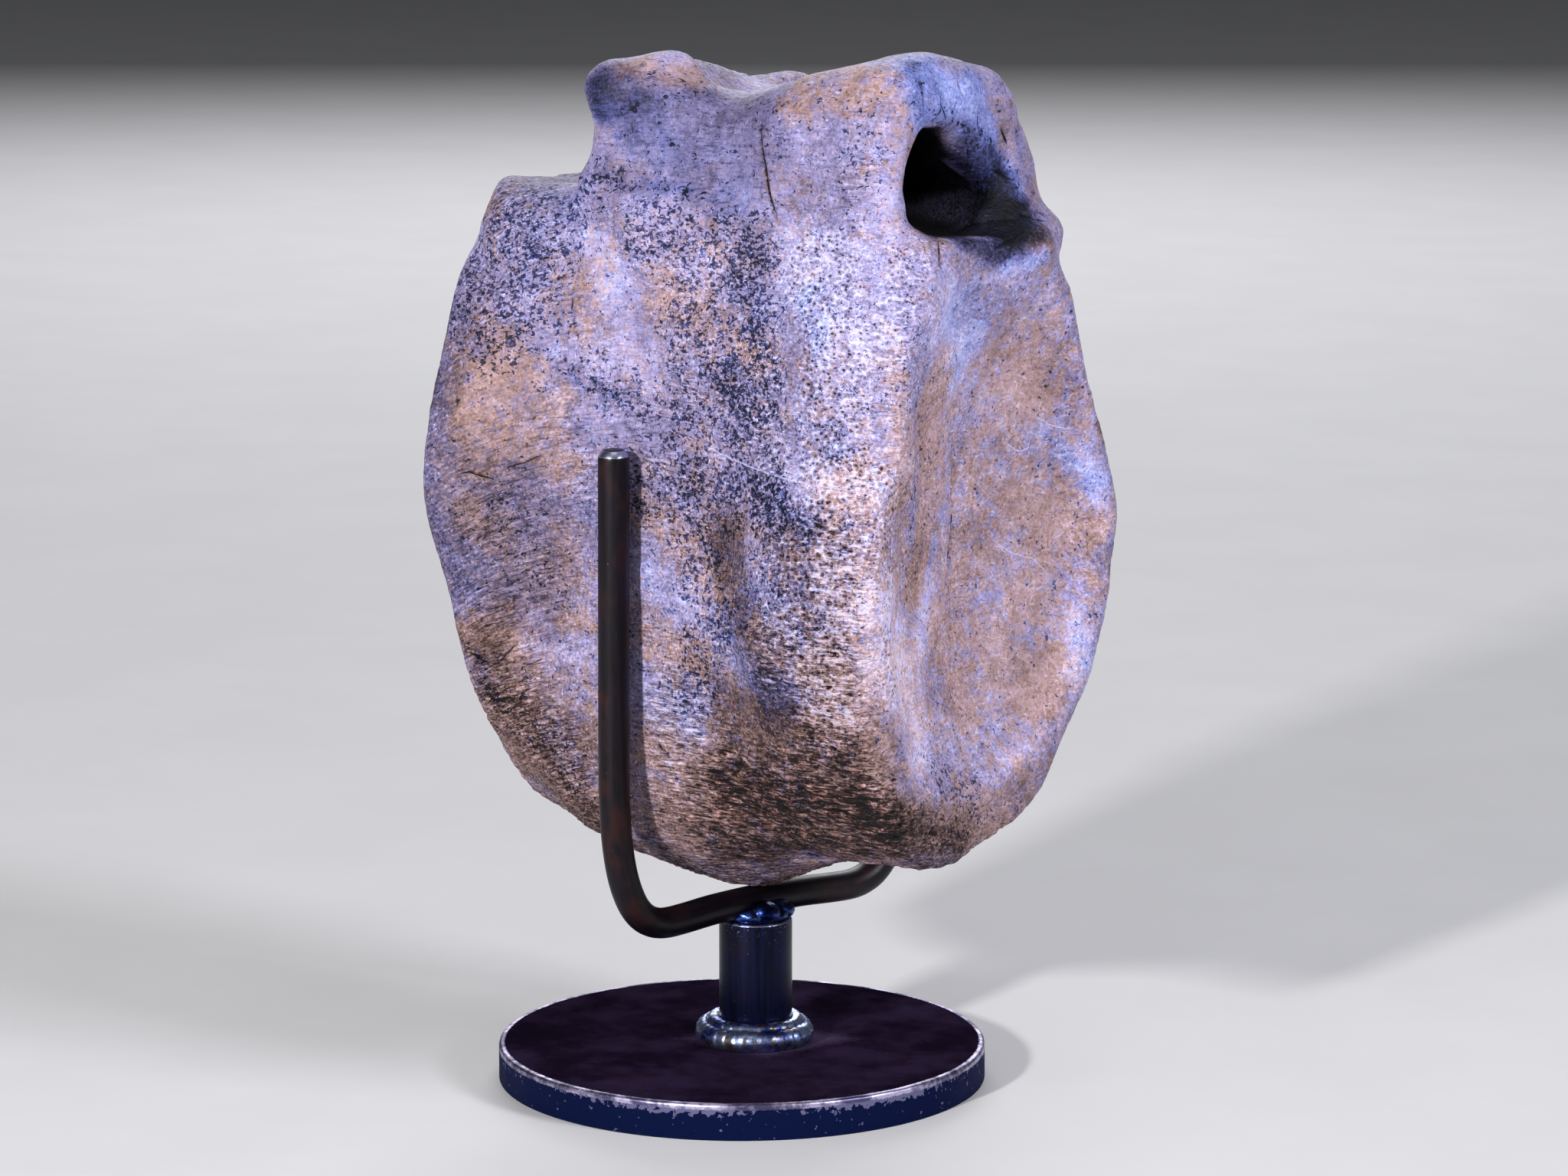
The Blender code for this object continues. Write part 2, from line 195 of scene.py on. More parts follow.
@dataclass(frozen=True)
class Field:
    """Smooth random fields over points in millimetres, the same on each run."""

    seed: int = 7
    primes: tuple[int, int, int] = (73856093, 19349663, 83492791)

    def _hash(self, cells: Array, salt: int) -> Array:
        """A whole number for each cell that looks random.

        Args:
            cells: Whole cell coordinates, one row a point.
            salt: Chooses another set of numbers.

        Returns:
            One unsigned number a row.
        """
        mixed = np.uint32((self.seed * 977 + salt * 7919) % 2**31)
        for axis, prime in enumerate(self.primes):
            mixed = mixed ^ cells[:, axis].astype(np.uint32) * np.uint32(prime)
        mixed = (mixed ^ (mixed >> np.uint32(13))) * np.uint32(1274126177)
        mixed = (mixed ^ (mixed >> np.uint32(16))) * np.uint32(2246822519)
        return mixed ^ (mixed >> np.uint32(15))

    def noise(self, points: Array, size: Size, salt: int = 0) -> Array:
        """Gradient noise.

        Args:
            points: Points in millimetres, one row each.
            size: How far apart its features are, in millimetres, or one distance for each axis.
            salt: Chooses another field.

        Returns:
            Values from about -1 to 1.
        """
        scaled = points / np.asarray(size, float)
        cell = np.floor(scaled)
        inside = (scaled - cell).astype(np.float32)
        cell = cell.astype(np.int64)
        fade = inside**3 * (inside * (inside * 6 - 15) + 10)
        total = np.zeros(len(points), np.float32)
        for corner in range(8):
            step = [corner & 1, corner >> 1 & 1, corner >> 2 & 1]
            slope = SLOPES[self._hash(cell + step, salt) & np.uint32(255)]
            reach = np.einsum("ij,ij->i", inside - np.array(step, np.float32), slope)
            for axis in range(3):
                reach *= fade[:, axis] if step[axis] else 1 - fade[:, axis]
            total += reach
        return total * 1.6

    def layers(self, points: Array, size: Size, count: int = 4, salt: int = 0) -> Array:
        """Several layers of noise, each half the size and strength of the one before.

        Args:
            points: Points in millimetres.
            size: The largest layer's size.
            count: How many layers.
            salt: Chooses another field.

        Returns:
            Values from about -1 to 1.
        """
        total = np.zeros(len(points))
        strength, reach = 1.0, 0.0
        for layer in range(count):
            total += strength * self.noise(points, np.asarray(size, float) / 2**layer, salt + layer)
            reach += strength
            strength /= 2
        return total / reach * 1.5

    def pits(self, points: Array, size: Size, salt: int = 0) -> Array:
        """How close each point is to the nearest of many scattered seeds.

        Args:
            points: Points in millimetres.
            size: How far apart the seeds are.
            salt: Chooses another scatter.

        Returns:
            The distance in cells, 0 at a seed.
        """
        scaled = points / np.asarray(size, float)
        cell = np.floor(scaled).astype(np.int64)
        nearest = np.full(len(points), 9.0)
        for step in product((-1, 0, 1), repeat=3):
            other = cell + np.array(step)
            code = self._hash(other, salt)
            seeds = np.stack([(code >> np.uint32(shift)) & np.uint32(1023) for shift in (0, 10, 20)], 1)
            gap = other + seeds / 1023 - scaled
            nearest = np.minimum(nearest, np.einsum("ij,ij->i", gap, gap))
        return np.sqrt(nearest)


def ease(values: Array, low: float, high: float) -> Array:
    """A smooth step.

    Args:
        values: What to step on.
        low: Where the result is 0.
        high: Where the result is 1. It may be under low.

    Returns:
        Values from 0 to 1.
    """
    share = np.clip((values - low) / (high - low), 0, 1)
    return share * share * (3 - 2 * share)


def nearest_runs(points: Array, line: Array) -> tuple[Array, Array, Array]:
    """Finds the run of a line that each point is nearest to.

    Args:
        points: The points, one row each.
        line: The line's own points.

    Returns:
        The run's number, how far along it the nearest place is, from 0 to 1, and the way from there.
    """
    best = np.full(len(points), FAR)
    number = np.zeros(len(points), int)
    along = np.zeros(len(points))
    gaps = np.zeros((len(points), 3))
    for i, (start, run) in enumerate(zip(line, np.diff(line, axis=0))):
        share = np.clip((points - start) @ run / np.linalg.norm(run) ** 2, 0, 1)
        gap = points - start - share[:, None] * run
        far = np.linalg.norm(gap, axis=1)
        closer = far < best
        best[closer], along[closer], gaps[closer] = far[closer], share[closer], gap[closer]
        number[closer] = i
    return number, along, gaps


def srgb(red: int, green: int, blue: int) -> Colour:
    """A colour as a screen shows it, made linear.

    Args:
        red: 0 to 255.
        green: 0 to 255.
        blue: 0 to 255.

    Returns:
        The linear colour.
    """

    def linear(level: int) -> float:
        share = level / 255
        return share / 12.92 if share <= 0.04045 else ((share + 0.055) / 1.055) ** 2.4

    return linear(red), linear(green), linear(blue)


def shades(*colours: tuple[int, int, int]) -> tuple[Colour, ...]:
    """Several colours as a screen shows them, made linear."""
    return tuple(srgb(*colour) for colour in colours)


def select_only(item: Item) -> None:
    """Selects one object and makes it active.

    Args:
        item: The object.
    """
    bpy.ops.object.select_all(action="DESELECT")
    item.select_set(True)
    bpy.context.view_layer.objects.active = item


def finish_with(item: Item, kind: str, **settings: object) -> None:
    """Adds a modifier and applies it.

    Args:
        item: The object.
        kind: The modifier's type.
        settings: Its settings by name.
    """
    select_only(item)
    modifier = item.modifiers.new(kind.lower(), kind)
    for name, value in settings.items():
        setattr(modifier, name, value)
    bpy.ops.object.modifier_apply(modifier=modifier.name)


def reskin(item: Item, voxel: float, strokings: int) -> None:
    """Gives an object a new skin, as fine as a voxel in metres, and smooths it."""
    finish_with(item, "REMESH", mode="VOXEL", voxel_size=voxel)
    finish_with(item, "SMOOTH", factor=0.5, iterations=strokings)


def merge_doubles(item: Item) -> None:
    """Makes one of vertices that lie on each other, and turns the faces outwards.

    Args:
        item: The object.
    """
    select_only(item)
    bpy.ops.object.mode_set(mode="EDIT")
    bpy.ops.mesh.select_all(action="SELECT")
    bpy.ops.mesh.remove_doubles(threshold=0.00001)
    bpy.ops.mesh.normals_make_consistent(inside=False)
    bpy.ops.object.mode_set(mode="OBJECT")


def join(items: Sequence[Item], name: str) -> Item:
    """Joins objects.

    Args:
        items: The objects.
        name: What they are called together.

    Returns:
        The first of them, which now holds them all.
    """
    bpy.ops.object.select_all(action="DESELECT")
    for item in items:
        item.select_set(True)
    bpy.context.view_layer.objects.active = items[0]
    bpy.ops.object.join()
    items[0].name = name
    return items[0]


def gathered(items: bpy.types.bpy_prop_collection, name: str, width: int = 3) -> Array:
    """Reads a property of many items.

    Args:
        items: The items.
        name: The property.
        width: How many numbers it has.

    Returns:
        One row an item.
    """
    flat = np.empty(len(items) * width, np.float32)
    items.foreach_get(name, flat)
    return flat.reshape(-1, width).astype(float)


def vertices_of(mesh: bpy.types.Mesh) -> Array:
    """A mesh's vertices in millimetres, one row each."""
    return gathered(mesh.vertices, "co") / MM


def normals_of(mesh: bpy.types.Mesh) -> Array:
    """A mesh's vertex normals, one row each."""
    return gathered(mesh.vertex_normals, "vector")


def move_vertices(mesh: bpy.types.Mesh, points: Array) -> None:
    """Puts a mesh's vertices somewhere else, in millimetres."""
    mesh.vertices.foreach_set("co", (points * MM).astype(np.float32).ravel())
    mesh.update()


def store(mesh: bpy.types.Mesh, name: str, values: Array) -> None:
    """Keeps a number at each vertex, for the material to read."""
    attribute = mesh.attributes.new(name, "FLOAT", "POINT")
    attribute.data.foreach_set("value", values.astype(np.float32))


def stored(mesh: bpy.types.Mesh, name: str) -> Array:
    """The numbers that store keeps, one a vertex."""
    return gathered(mesh.attributes[name].data, "value", 1)[:, 0]


class NodeSheet:
    """A material's node tree, with short ways to add the nodes that the finishes use."""

    def __init__(self, name: str) -> None:
        """Starts a material.

        Args:
            name: The material's name.
        """
        self.material = bpy.data.materials.new(name)
        self.material.use_nodes = True
        self.nodes = self.material.node_tree.nodes
        self.links = self.material.node_tree.links
        self.place = self.add("TexCoord").outputs["Object"]

    def feed(self, socket: Socket, value: object) -> None:
        """Links a socket, or sets its own value.

        Args:
            socket: The input.
            value: An output socket, a number or a colour.
        """
        if isinstance(value, bpy.types.NodeSocket):
            self.links.new(value, socket)
        elif socket.type == "RGBA":
            socket.default_value = (*value, 1.0)
        else:
            socket.default_value = value

    def add(
        self, kind: str, inputs: dict[str | int, object] | None = None, **settings: object
    ) -> bpy.types.ShaderNode:
        """Adds a node.

        Args:
            kind: Its type, without the ShaderNode before it.
            inputs: What its sockets get, by their names or numbers.
            settings: Its settings by name.

        Returns:
            The node.
        """
        node = self.nodes.new("ShaderNode" + kind)
        for name, value in settings.items():
            setattr(node, name, value)
        for socket, value in (inputs or {}).items():
            self.feed(node.inputs[socket], value)
        return node

    def math(self, operation: str, *values: object) -> Socket:
        """The result of an operation on some values."""
        return self.add("Math", dict(enumerate(values)), operation=operation).outputs[0]

    def times(self, *values: object) -> Socket:
        """The product of several values."""
        return reduce(lambda total, value: self.math("MULTIPLY", total, value), values)

    def plus(self, *terms: object) -> Socket:
        """The sum of several terms, where a tuple stands for the product of what it holds."""
        values = [self.times(*term) if isinstance(term, tuple) else term for term in terms]
        return reduce(lambda total, value: self.math("ADD", total, value), values)

    def step(self, value: Socket, low: object, high: object) -> Socket:
        """A smooth step, from 0 where a value is low to 1 where it is high."""
        inputs = {"Value": value, "From Min": low, "From Max": high}
        return self.add("MapRange", inputs, interpolation_type="SMOOTHSTEP").outputs["Result"]

    def parts(self, vector: Socket) -> tuple[Socket, Socket, Socket]:
        """A vector's X, Y and Z."""
        return tuple(self.add("SeparateXYZ", {0: vector}).outputs)

    def scaled(self, size: Size) -> Socket:
        """Counts the coordinates in cells.

        Args:
            size: The cells' size in millimetres, or one size an axis.

        Returns:
            The coordinates.
        """
        sizes = size if isinstance(size, Sequence) else (size, size, size)
        scale = tuple(1 / (length * MM) for length in sizes)
        return self.add("Mapping", {"Vector": self.place, "Scale": scale}).outputs["Vector"]

    def noise(self, size: Size, detail: float = 4.0, rough: float = 0.55, twist: float = 0.0) -> Socket:
        """Adds a Noise Texture.

        Args:
            size: Its features' size in millimetres.
            detail: How many finer layers it has.
            rough: How strong they are.
            twist: How far it is distorted.

        Returns:
            A value round 0.5.
        """
        inputs = {"Vector": self.scaled(size), "Scale": 1.0, "Detail": detail, "Roughness": rough}
        return self.add("TexNoise", {**inputs, "Distortion": twist}).outputs["Fac"]

    def clouds(self, size: float, detail: float, rough: float) -> tuple[Socket, Socket, Socket]:
        """Three unlike noises from one Noise Texture, each round 0.

        Args:
            size: Their features' size in millimetres.
            detail: How many finer layers they have.
            rough: How strong those are.

        Returns:
            The three values.
        """
        noise = self.noise(size, detail, rough).node.outputs["Color"]
        centred = self.add("VectorMath", {0: noise, 1: (0.5, 0.5, 0.5)}, operation="SUBTRACT")
        return self.parts(centred.outputs[0])

    def cells(self, size: Sequence[float]) -> tuple[Socket, Socket]:
        """Adds a Voronoi Texture.

        Args:
            size: Its cells' size in millimetres.

        Returns:
            The distance to the nearest seed, and a random value for each cell.
        """
        node = self.add("TexVoronoi", {"Vector": self.scaled(size), "Scale": 1.0})
        split = self.add("SeparateColor", {0: node.outputs["Color"]})
        return node.outputs["Distance"], split.outputs[0]

    def ramp(self, value: Socket, colours: Sequence[Colour]) -> Socket:
        """A Color Ramp with evenly spaced colours.

        Args:
            value: What runs along it, from 0 to 1.
            colours: Its colours, from 0 to 1.

        Returns:
            The colour.
        """
        node = self.add("ValToRGB", {0: value})
        stops = node.color_ramp.elements
        stops[1].position = 1.0
        for i in range(1, len(colours) - 1):
            stops.new(i / (len(colours) - 1))
        for stop, colour in zip(stops, colours):
            stop.color = (*colour, 1.0)
        return node.outputs[0]

    def reads(self, name: str) -> Socket:
        """The number that the mesh keeps at its vertices under a name."""
        return self.add("Attribute", attribute_name=name).outputs["Fac"]

    def mix(self, share: object, under: object, over: object, blend: str = "MIX") -> Socket:
        """A share of one colour laid over another."""
        inputs = {0: share, 6: under, 7: over}
        return self.add("Mix", inputs, data_type="RGBA", blend_type=blend).outputs[2]

    def bump(self, height: Socket, depth: float, strength: float = 1.0) -> Socket:
        """The normal over a height of about 0 to 1, where 1 is a depth in millimetres."""
        inputs = {"Strength": strength, "Distance": depth * MM, "Height": height}
        return self.add("Bump", inputs).outputs["Normal"]

    def dress(self, **inputs: object) -> bpy.types.Material:
        """Feeds the shader's sockets.

        Args:
            inputs: Values by socket name, with _ for a space.

        Returns:
            The material.
        """
        shader = self.nodes["Principled BSDF"]
        for name, value in inputs.items():
            self.feed(shader.inputs[name.replace("_", " ")], value)
        return self.material


@dataclass(frozen=True)
class Effect:
    """How much a mark lightens, warms and cools the bone."""

    mark: Mark
    lighter: float
    warmer: float
    cooler: float = 0.0


@dataclass(frozen=True)
class BoneFinish:
    """Fossil bone: a tone from dark to pale, read off a grey-lilac, a warm and a cool scale of colours."""

    plain: tuple[Colour, ...] = shades(
        (18, 17, 30), (58, 55, 88), (98, 93, 133), (139, 132, 175), (177, 170, 218), (216, 214, 254)
    )
    warm: tuple[Colour, ...] = shades(
        (21, 15, 18), (68, 48, 46), (117, 92, 88), (160, 130, 128), (194, 163, 170), (228, 206, 222)
    )
    cool: tuple[Colour, ...] = shades(
        (14, 15, 32), (46, 50, 94), (82, 90, 150), (122, 133, 198), (164, 178, 236), (206, 220, 255)
    )
    soot: Colour = srgb(17, 15, 22)
    # The colour of the painted shade inside the canal
    hollow_shade: Colour = srgb(2, 2, 5)
    vein: Colour = srgb(212, 206, 244)
    rusted: Colour = (1.0, 0.74, 0.60)
    # Half of the widest width of the cracks and of the veins, in millimetres
    crack_width: float = 0.30
    vein_width: float = 0.50
    effects: tuple[Effect, ...] = (
        Effect(Mark.OCHRE, 0.03, 0.80),
        Effect(Mark.PINK, 0.04, 0.60),
        Effect(Mark.PALE, 0.24, -0.08, 0.05),
        Effect(Mark.SKY, 0.08, -0.30, 0.75),
        Effect(Mark.NAVY, -0.13, -0.10, 0.34),
        Effect(Mark.GREY, -0.18, -0.06),
        Effect(Mark.BROWN, -0.36, 0.85),
        Effect(Mark.RUST, -0.12, 1.05),
        # Painted shade
        Effect(Mark.PAINTED_SHADE, -0.52, -0.30, 0.45),
    )

    def build(self) -> bpy.types.Material:
        """Makes the material.

        Returns:
            The material.
        """
        sheet = NodeSheet("fossil_bone")
        broad = sheet.clouds(15.0, 3.0, 0.6)
        middle = sheet.clouds(3.3, 3.0, 0.65)
        fine = sheet.clouds(0.85, 2.0, 0.6)
        fibre = self.fibre(sheet)
        reads = {mark: sheet.reads(mark.value) for mark in Mark}
        relief, ridges, pink = sheet.reads("relief"), reads[Mark.RIDGES], reads[Mark.PINK]
        polish = reads[Mark.SMOOTH]
        rugged = sheet.plus(1.10, (polish, -0.60))

        dense = sheet.plus(reads[Mark.FLECKS], (reads[Mark.NAVY], 0.7))
        flecks = self.flecks(sheet, dense, fine[1], middle[2])
        pores, walls = self.pores(sheet, reads[Mark.PORES], fine[2], middle[1])
        swirl = self.swirls(sheet, pink, middle[0])
        specks = sheet.step(sheet.plus(fine[2], (dense, 0.09)), 0.16, 0.24)
        # Painted shade in the low places of the relief, deepest among the ridges and a little warmer
        hollow_shade = sheet.step(relief, -0.05, -0.8)
        # Painted highlight on the raised tops of the ridges
        crest_highlight = sheet.times(sheet.step(relief, 0.10, 0.60), ridges)
        streak = sheet.times(sheet.step(fibre, -0.06, -0.16), polish)
        glint = sheet.times(sheet.step(sheet.noise(0.62, 1.0), 0.655, 0.70), rugged)

        grain = sheet.plus((fine[0], 0.80), (fibre, sheet.plus(0.50, (ridges, 2.2))))
        tone = sheet.plus(
            0.60, (broad[0], 0.35), (middle[0], 0.50), (grain, rugged),
            *((reads[effect.mark], effect.lighter) for effect in self.effects),
            (flecks, -0.44), (specks, -0.16), (pores, -0.42), (walls, 0.30), (swirl, 0.13),
            (hollow_shade, sheet.plus(-0.16, (ridges, -0.48))), (crest_highlight, 0.18), (streak, -0.12), (glint, 0.26),
        )
        even = sheet.plus(1.0, (reads[Mark.GREY], -0.6))
        patches = sheet.plus((broad[1], 1.1), (middle[1], 1.7), (fine[1], 2.2))
        mottle = sheet.plus((broad[1], 1.4), (middle[1], 2.0), (fine[1], 1.6))
        warmth = sheet.plus(
            0.24, (patches, even),
            *((reads[effect.mark], effect.warmer) for effect in self.effects),
            (pink, mottle), (flecks, -0.25), (hollow_shade, 0.25), (pores, 0.35),
        )
        patches = sheet.plus((broad[2], 1.0), (middle[2], 1.4), (fine[2], 1.5))
        chill = sheet.plus(
            0.04, (patches, sheet.plus(even, (pink, -0.35))),
            *((reads[effect.mark], effect.cooler) for effect in self.effects if effect.cooler),
            (flecks, 0.40), (streak, 0.2),
        )

        plain, warm, cool = (sheet.ramp(tone, scale) for scale in (self.plain, self.warm, self.cool))
        colour = sheet.mix(sheet.step(warmth, 0.08, 0.95), plain, warm)
        colour = sheet.mix(sheet.step(chill, 0.10, 0.90), colour, cool)
        # The painted crest highlight is tinted warm where the bone is brown
        colour = sheet.mix(sheet.times(crest_highlight, reads[Mark.BROWN], 0.8), colour, self.rusted, "MULTIPLY")
        crack = self.line(sheet, "crack", self.crack_width, middle[1])
        vein = self.line(sheet, "vein", self.vein_width, middle[2])
        colour = sheet.mix(sheet.times(vein, 0.6), colour, self.vein)
        colour = sheet.mix(crack, colour, self.soot)
        # Painted shade inside the neural canal
        colour = sheet.mix(sheet.reads("shade"), colour, self.hollow_shade)
        fibrous = sheet.times(fibre, sheet.plus(1.2, (ridges, 2.6)))
        height = sheet.plus(fibrous, (fine[0], 1.2), (pores, -1.3), (walls, 0.4), (crack, -1.6))
        return sheet.dress(
            Base_Color=colour,
            Roughness=sheet.math("MINIMUM", sheet.plus(0.66, (fine[1], 0.5), (polish, -0.14)), 0.95),
            Specular_IOR_Level=0.22,
            Normal=sheet.bump(sheet.times(height, rugged), 0.46),
        )

    def fibre(self, sheet: NodeSheet) -> Socket:
        """Fine streaks along the bone, which sweep down towards its far end.

        Args:
            sheet: The material.

        Returns:
            Noise round 0.
        """
        x, y, z = sheet.parts(sheet.place)
        behind = sheet.math("MINIMUM", sheet.plus(x, 0.006), 0.0)
        swept = sheet.plus(z, (behind, behind, 5.0))
        place, sheet.place = sheet.place, sheet.add("CombineXYZ", {0: x, 1: y, 2: swept}).outputs[0]
        noise = sheet.noise((4.6, 1.7, 0.8), 4.0, 0.62, 0.9)
        sheet.place = place
        return sheet.plus(noise, -0.5)

    def flecks(self, sheet: NodeSheet, reach: Socket, grain: Socket, clump: Socket) -> Socket:
        """Short dark flecks, denser where their mark is strong.

        Args:
            sheet: The material.
            reach: The mark.
            grain: Fine noise round 0.
            clump: Coarser noise round 0, which gathers them.

        Returns:
            How much of them shows.
        """
        curl = sheet.noise((1.4, 1.05, 1.05), 2.0, 0.55, 0.8)
        value = sheet.plus(curl, (grain, 0.35), (clump, 0.45), (reach, 0.165), -0.675)
        return sheet.step(value, 0.0, 0.035)

    def pores(self, sheet: NodeSheet, reach: Socket, grain: Socket, clump: Socket) -> tuple[Socket, Socket]:
        """Open pores and the pale walls between them, where the bone's outer skin has gone.

        Args:
            sheet: The material.
            reach: The mark.
            grain: Fine noise round 0.
            clump: Coarser noise round 0.

        Returns:
            How much of the pores and of the walls shows.
        """
        distance, chance = sheet.cells((1.35, 1.1, 0.95))
        wide = sheet.plus((chance, 0.30), 0.10)
        off = sheet.plus(distance, (grain, 0.35))
        hole = sheet.step(off, wide, sheet.times(wide, 0.55))
        there = sheet.step(sheet.plus((clump, 0.9), reach), 0.25, 0.65)
        return sheet.times(hole, there), sheet.times(sheet.step(off, 0.52, 0.80), there)

    def swirls(self, sheet: NodeSheet, reach: Socket, grain: Socket) -> Socket:
        """Long pale hairlines that curl over the skin of the dishes.

        Args:
            sheet: The material.
            reach: How much of them there is.
            grain: Finer noise round 0, which breaks them.

        Returns:
            How much of them shows.
        """
        wave = sheet.noise((9.0, 9.0, 6.0), 2.0, 0.5, 0.8)
        off = sheet.math("ABSOLUTE", sheet.plus(wave, -0.5))
        there = sheet.step(sheet.plus(reach, (grain, 2.5)), 0.35, 0.75)
        return sheet.times(sheet.step(off, 0.014, 0.004), there)

    def line(self, sheet: NodeSheet, name: str, width: float, wander: Socket) -> Socket:
        """A crack or vein, from the distance to its middle that the vertices hold.

        Args:
            sheet: The material.
            name: Which set of lines.
            width: Half of its widest width, in millimetres.
            wander: Noise round 0, which leads it off its path.

        Returns:
            How much of it shows.
        """
        off = sheet.math("ABSOLUTE", sheet.plus(sheet.reads(name + "_side"), (wander, 1.1)))
        reach = sheet.reads(name + "_reach")
        half = sheet.times(reach, width)
        return sheet.times(sheet.step(off, half, sheet.times(half, 0.4)), sheet.step(reach, 0.04, 0.2))


@dataclass(frozen=True)
class Trail:
    """Something laid on the bone along pixels of the photograph.

    It is a brush stroke, a ridge or a place worn round, and has a radius in millimetres.
    """

    amount: float
    radius: float
    path: tuple[Pixel, ...]


@dataclass(frozen=True)
class Line:
    """A crack or vein along pixels of the photograph, with a strength up to 1."""

    strength: float
    path: tuple[Pixel, ...]


def trails(*rows: tuple) -> tuple[Trail, ...]:
    """Trails from rows of an amount, a radius and pixels."""
    return tuple(Trail(amount, radius, tuple(path)) for amount, radius, *path in rows)


def cuts(*rows: tuple) -> tuple[Line, ...]:
    """Lines from rows of a strength and pixels."""
    return tuple(Line(strength, tuple(path)) for strength, *path in rows)


@dataclass(frozen=True)
class Lump:
    """Clay added to the bone or carved from it before its skin is made, in millimetres and degrees."""

    centre: tuple[float, float, float]
    half: tuple[float, float, float]
    turn: float = 0.0
    # 1 leaves it an ellipsoid, and less squares it off
    round: float = 1.0
    # How far it leans about X
    lean: float = 0.0

    def build(self, around: int = 64) -> Item:
        """Makes the lump.

        Args:
            around: How many faces go round it.

        Returns:
            The lump.
        """
        bpy.ops.mesh.primitive_uv_sphere_add(
            segments=around,
            ring_count=around // 2,
            radius=1.0,
            location=[place * MM for place in self.centre],
            rotation=(math.radians(self.lean), 0.0, math.radians(self.turn)),
        )
        made = bpy.context.object
        made.scale = [half * MM for half in self.half]
        ball = gathered(made.data.vertices, "co").astype(np.float32)
        made.data.vertices.foreach_set("co", (np.sign(ball) * np.abs(ball) ** self.round).ravel())
        bpy.ops.object.transform_apply(location=True, rotation=True, scale=True)
        return made


# The roof's worn end and thin middle, the shoulder by the far dish, and the arch's far end
ADDED = (
    Lump((62.0, 7.5, 249.5), (7.5, 19.0, 8.0), round=0.9, lean=-35.0),
    Lump((62.0, -9.0, 259.0), (8.0, 13.0, 6.5), round=0.9, lean=-8.0),
    Lump((9.0, 0.0, 256.3), (18.0, 15.0, 3.7)),
    Lump((-43.0, -14.0, 218.5), (25.0, 18.5, 14.5), turn=4.0, round=0.85),
    Lump((-56.5, -6.0, 221.5), (13.0, 20.0, 13.5), turn=10.0, round=0.7),
    Lump((-27.0, -17.0, 224.0), (15.0, 15.0, 12.0)),
    Lump((-17.0, -22.0, 258.5), (10.0, 10.0, 8.5)),
    Lump((-18.0, -24.0, 252.0), (10.0, 8.5, 7.5)),
)

# The canal's two flared mouths
CARVED = (
    Lump((82.0, -6.0, 237.5), (33.0, 19.5, 9.8), round=0.8, lean=-20.0),
    Lump((80.0, -13.0, 231.0), (22.0, 12.0, 5.5), round=0.9, lean=-8.0),
    Lump((-56.0, 1.0, 243.0), (30.0, 24.0, 13.5), round=0.8),
)

# Where the form is worn round
SOFTENED = trails(
    # The dish's near rim, the top of the dish and the far shoulder
    (1.0, 20.0, (1205, 330), (1198, 400), (1192, 500), (1186, 610), (1176, 720), (1176, 820)),
    (1.0, 12.0, (1235, 345), (1300, 352), (1350, 375)),
    (1.0, 9.0, (1150, 800), (1150, 900), (1165, 1000)),
    (1.0, 13.0, (700, 262), (775, 262), (780, 320)),
)

# Ridges, and hollows where the height is under 0
SWELLS = trails(
    # The near rim of the dish rolls over softly, and the column beside it swells
    (-1.2, 13.0, (1184, 400), (1180, 500), (1172, 622), (1158, 720)),
    (0.7, 17.0, (1080, 420), (1085, 600), (1080, 780), (1060, 900)),
    (-0.7, 14.0, (975, 420), (950, 560), (955, 700)),
    # The scoop below the cracks at the left, and the edge of the left rim
    (-3.2, 20.0, (660, 690), (700, 760), (690, 830)),
    (1.0, 8.0, (600, 600), (655, 596), (712, 575), (770, 562)),
    (0.7, 7.0, (634, 420), (622, 500), (614, 570)), (-0.8, 8.0, (590, 430), (578, 520), (576, 600)),
    # The dish: the fold behind its near rim, its swollen middle and its lower border
    (2.6, 10.0, (1212, 400), (1220, 500), (1220, 620), (1214, 740), (1210, 840)),
    (-0.8, 4.0, (1240, 560), (1241, 640), (1240, 700), (1237, 790)),
    (1.6, 6.5, (1190, 440), (1190, 560), (1186, 700), (1186, 800), (1194, 900)),
    (1.6, 16.0, (1310, 560), (1320, 700), (1300, 840)), (-1.2, 12.0, (1385, 560), (1390, 760)),
    (1.3, 5.0, (1205, 1048), (1270, 1040), (1340, 998)),
    (-1.6, 6.0, (1215, 1080), (1280, 1070), (1340, 1030)),
    # The groove under the arch, and the arch's waist
    (-1.8, 5.0, (790, 236), (870, 234), (960, 246)), (1.2, 6.0, (800, 262), (880, 262), (950, 280)),
    (-2.2, 12.0, (780, 168), (800, 170), (880, 175), (960, 180)),
    (3.2, 8.0, (788, 108), (786, 122), (787, 134)), (3.0, 5.5, (782, 212), (776, 224), (770, 236)),
    (2.2, 9.0, (676, 246), (710, 242), (752, 238)), (1.6, 9.0, (800, 110), (850, 105), (900, 120)),
    (-2.4, 9.0, (885, 80), (925, 92), (970, 108)), (2.4, 8.0, (1300, 108), (1312, 128)),
    # The rolled ledge at the canal's floor, and the roof's worn end
    (2.0, 6.0, (1262, 318), (1310, 322), (1360, 326)), (-1.6, 4.0, (1250, 340), (1320, 352)),
    (1.4, 5.0, (1366, 314), (1366, 332)), (-1.2, 4.0, (1230, 100), (1240, 150)),
    (1.4, 4.0, (1262, 100), (1270, 160)),
)

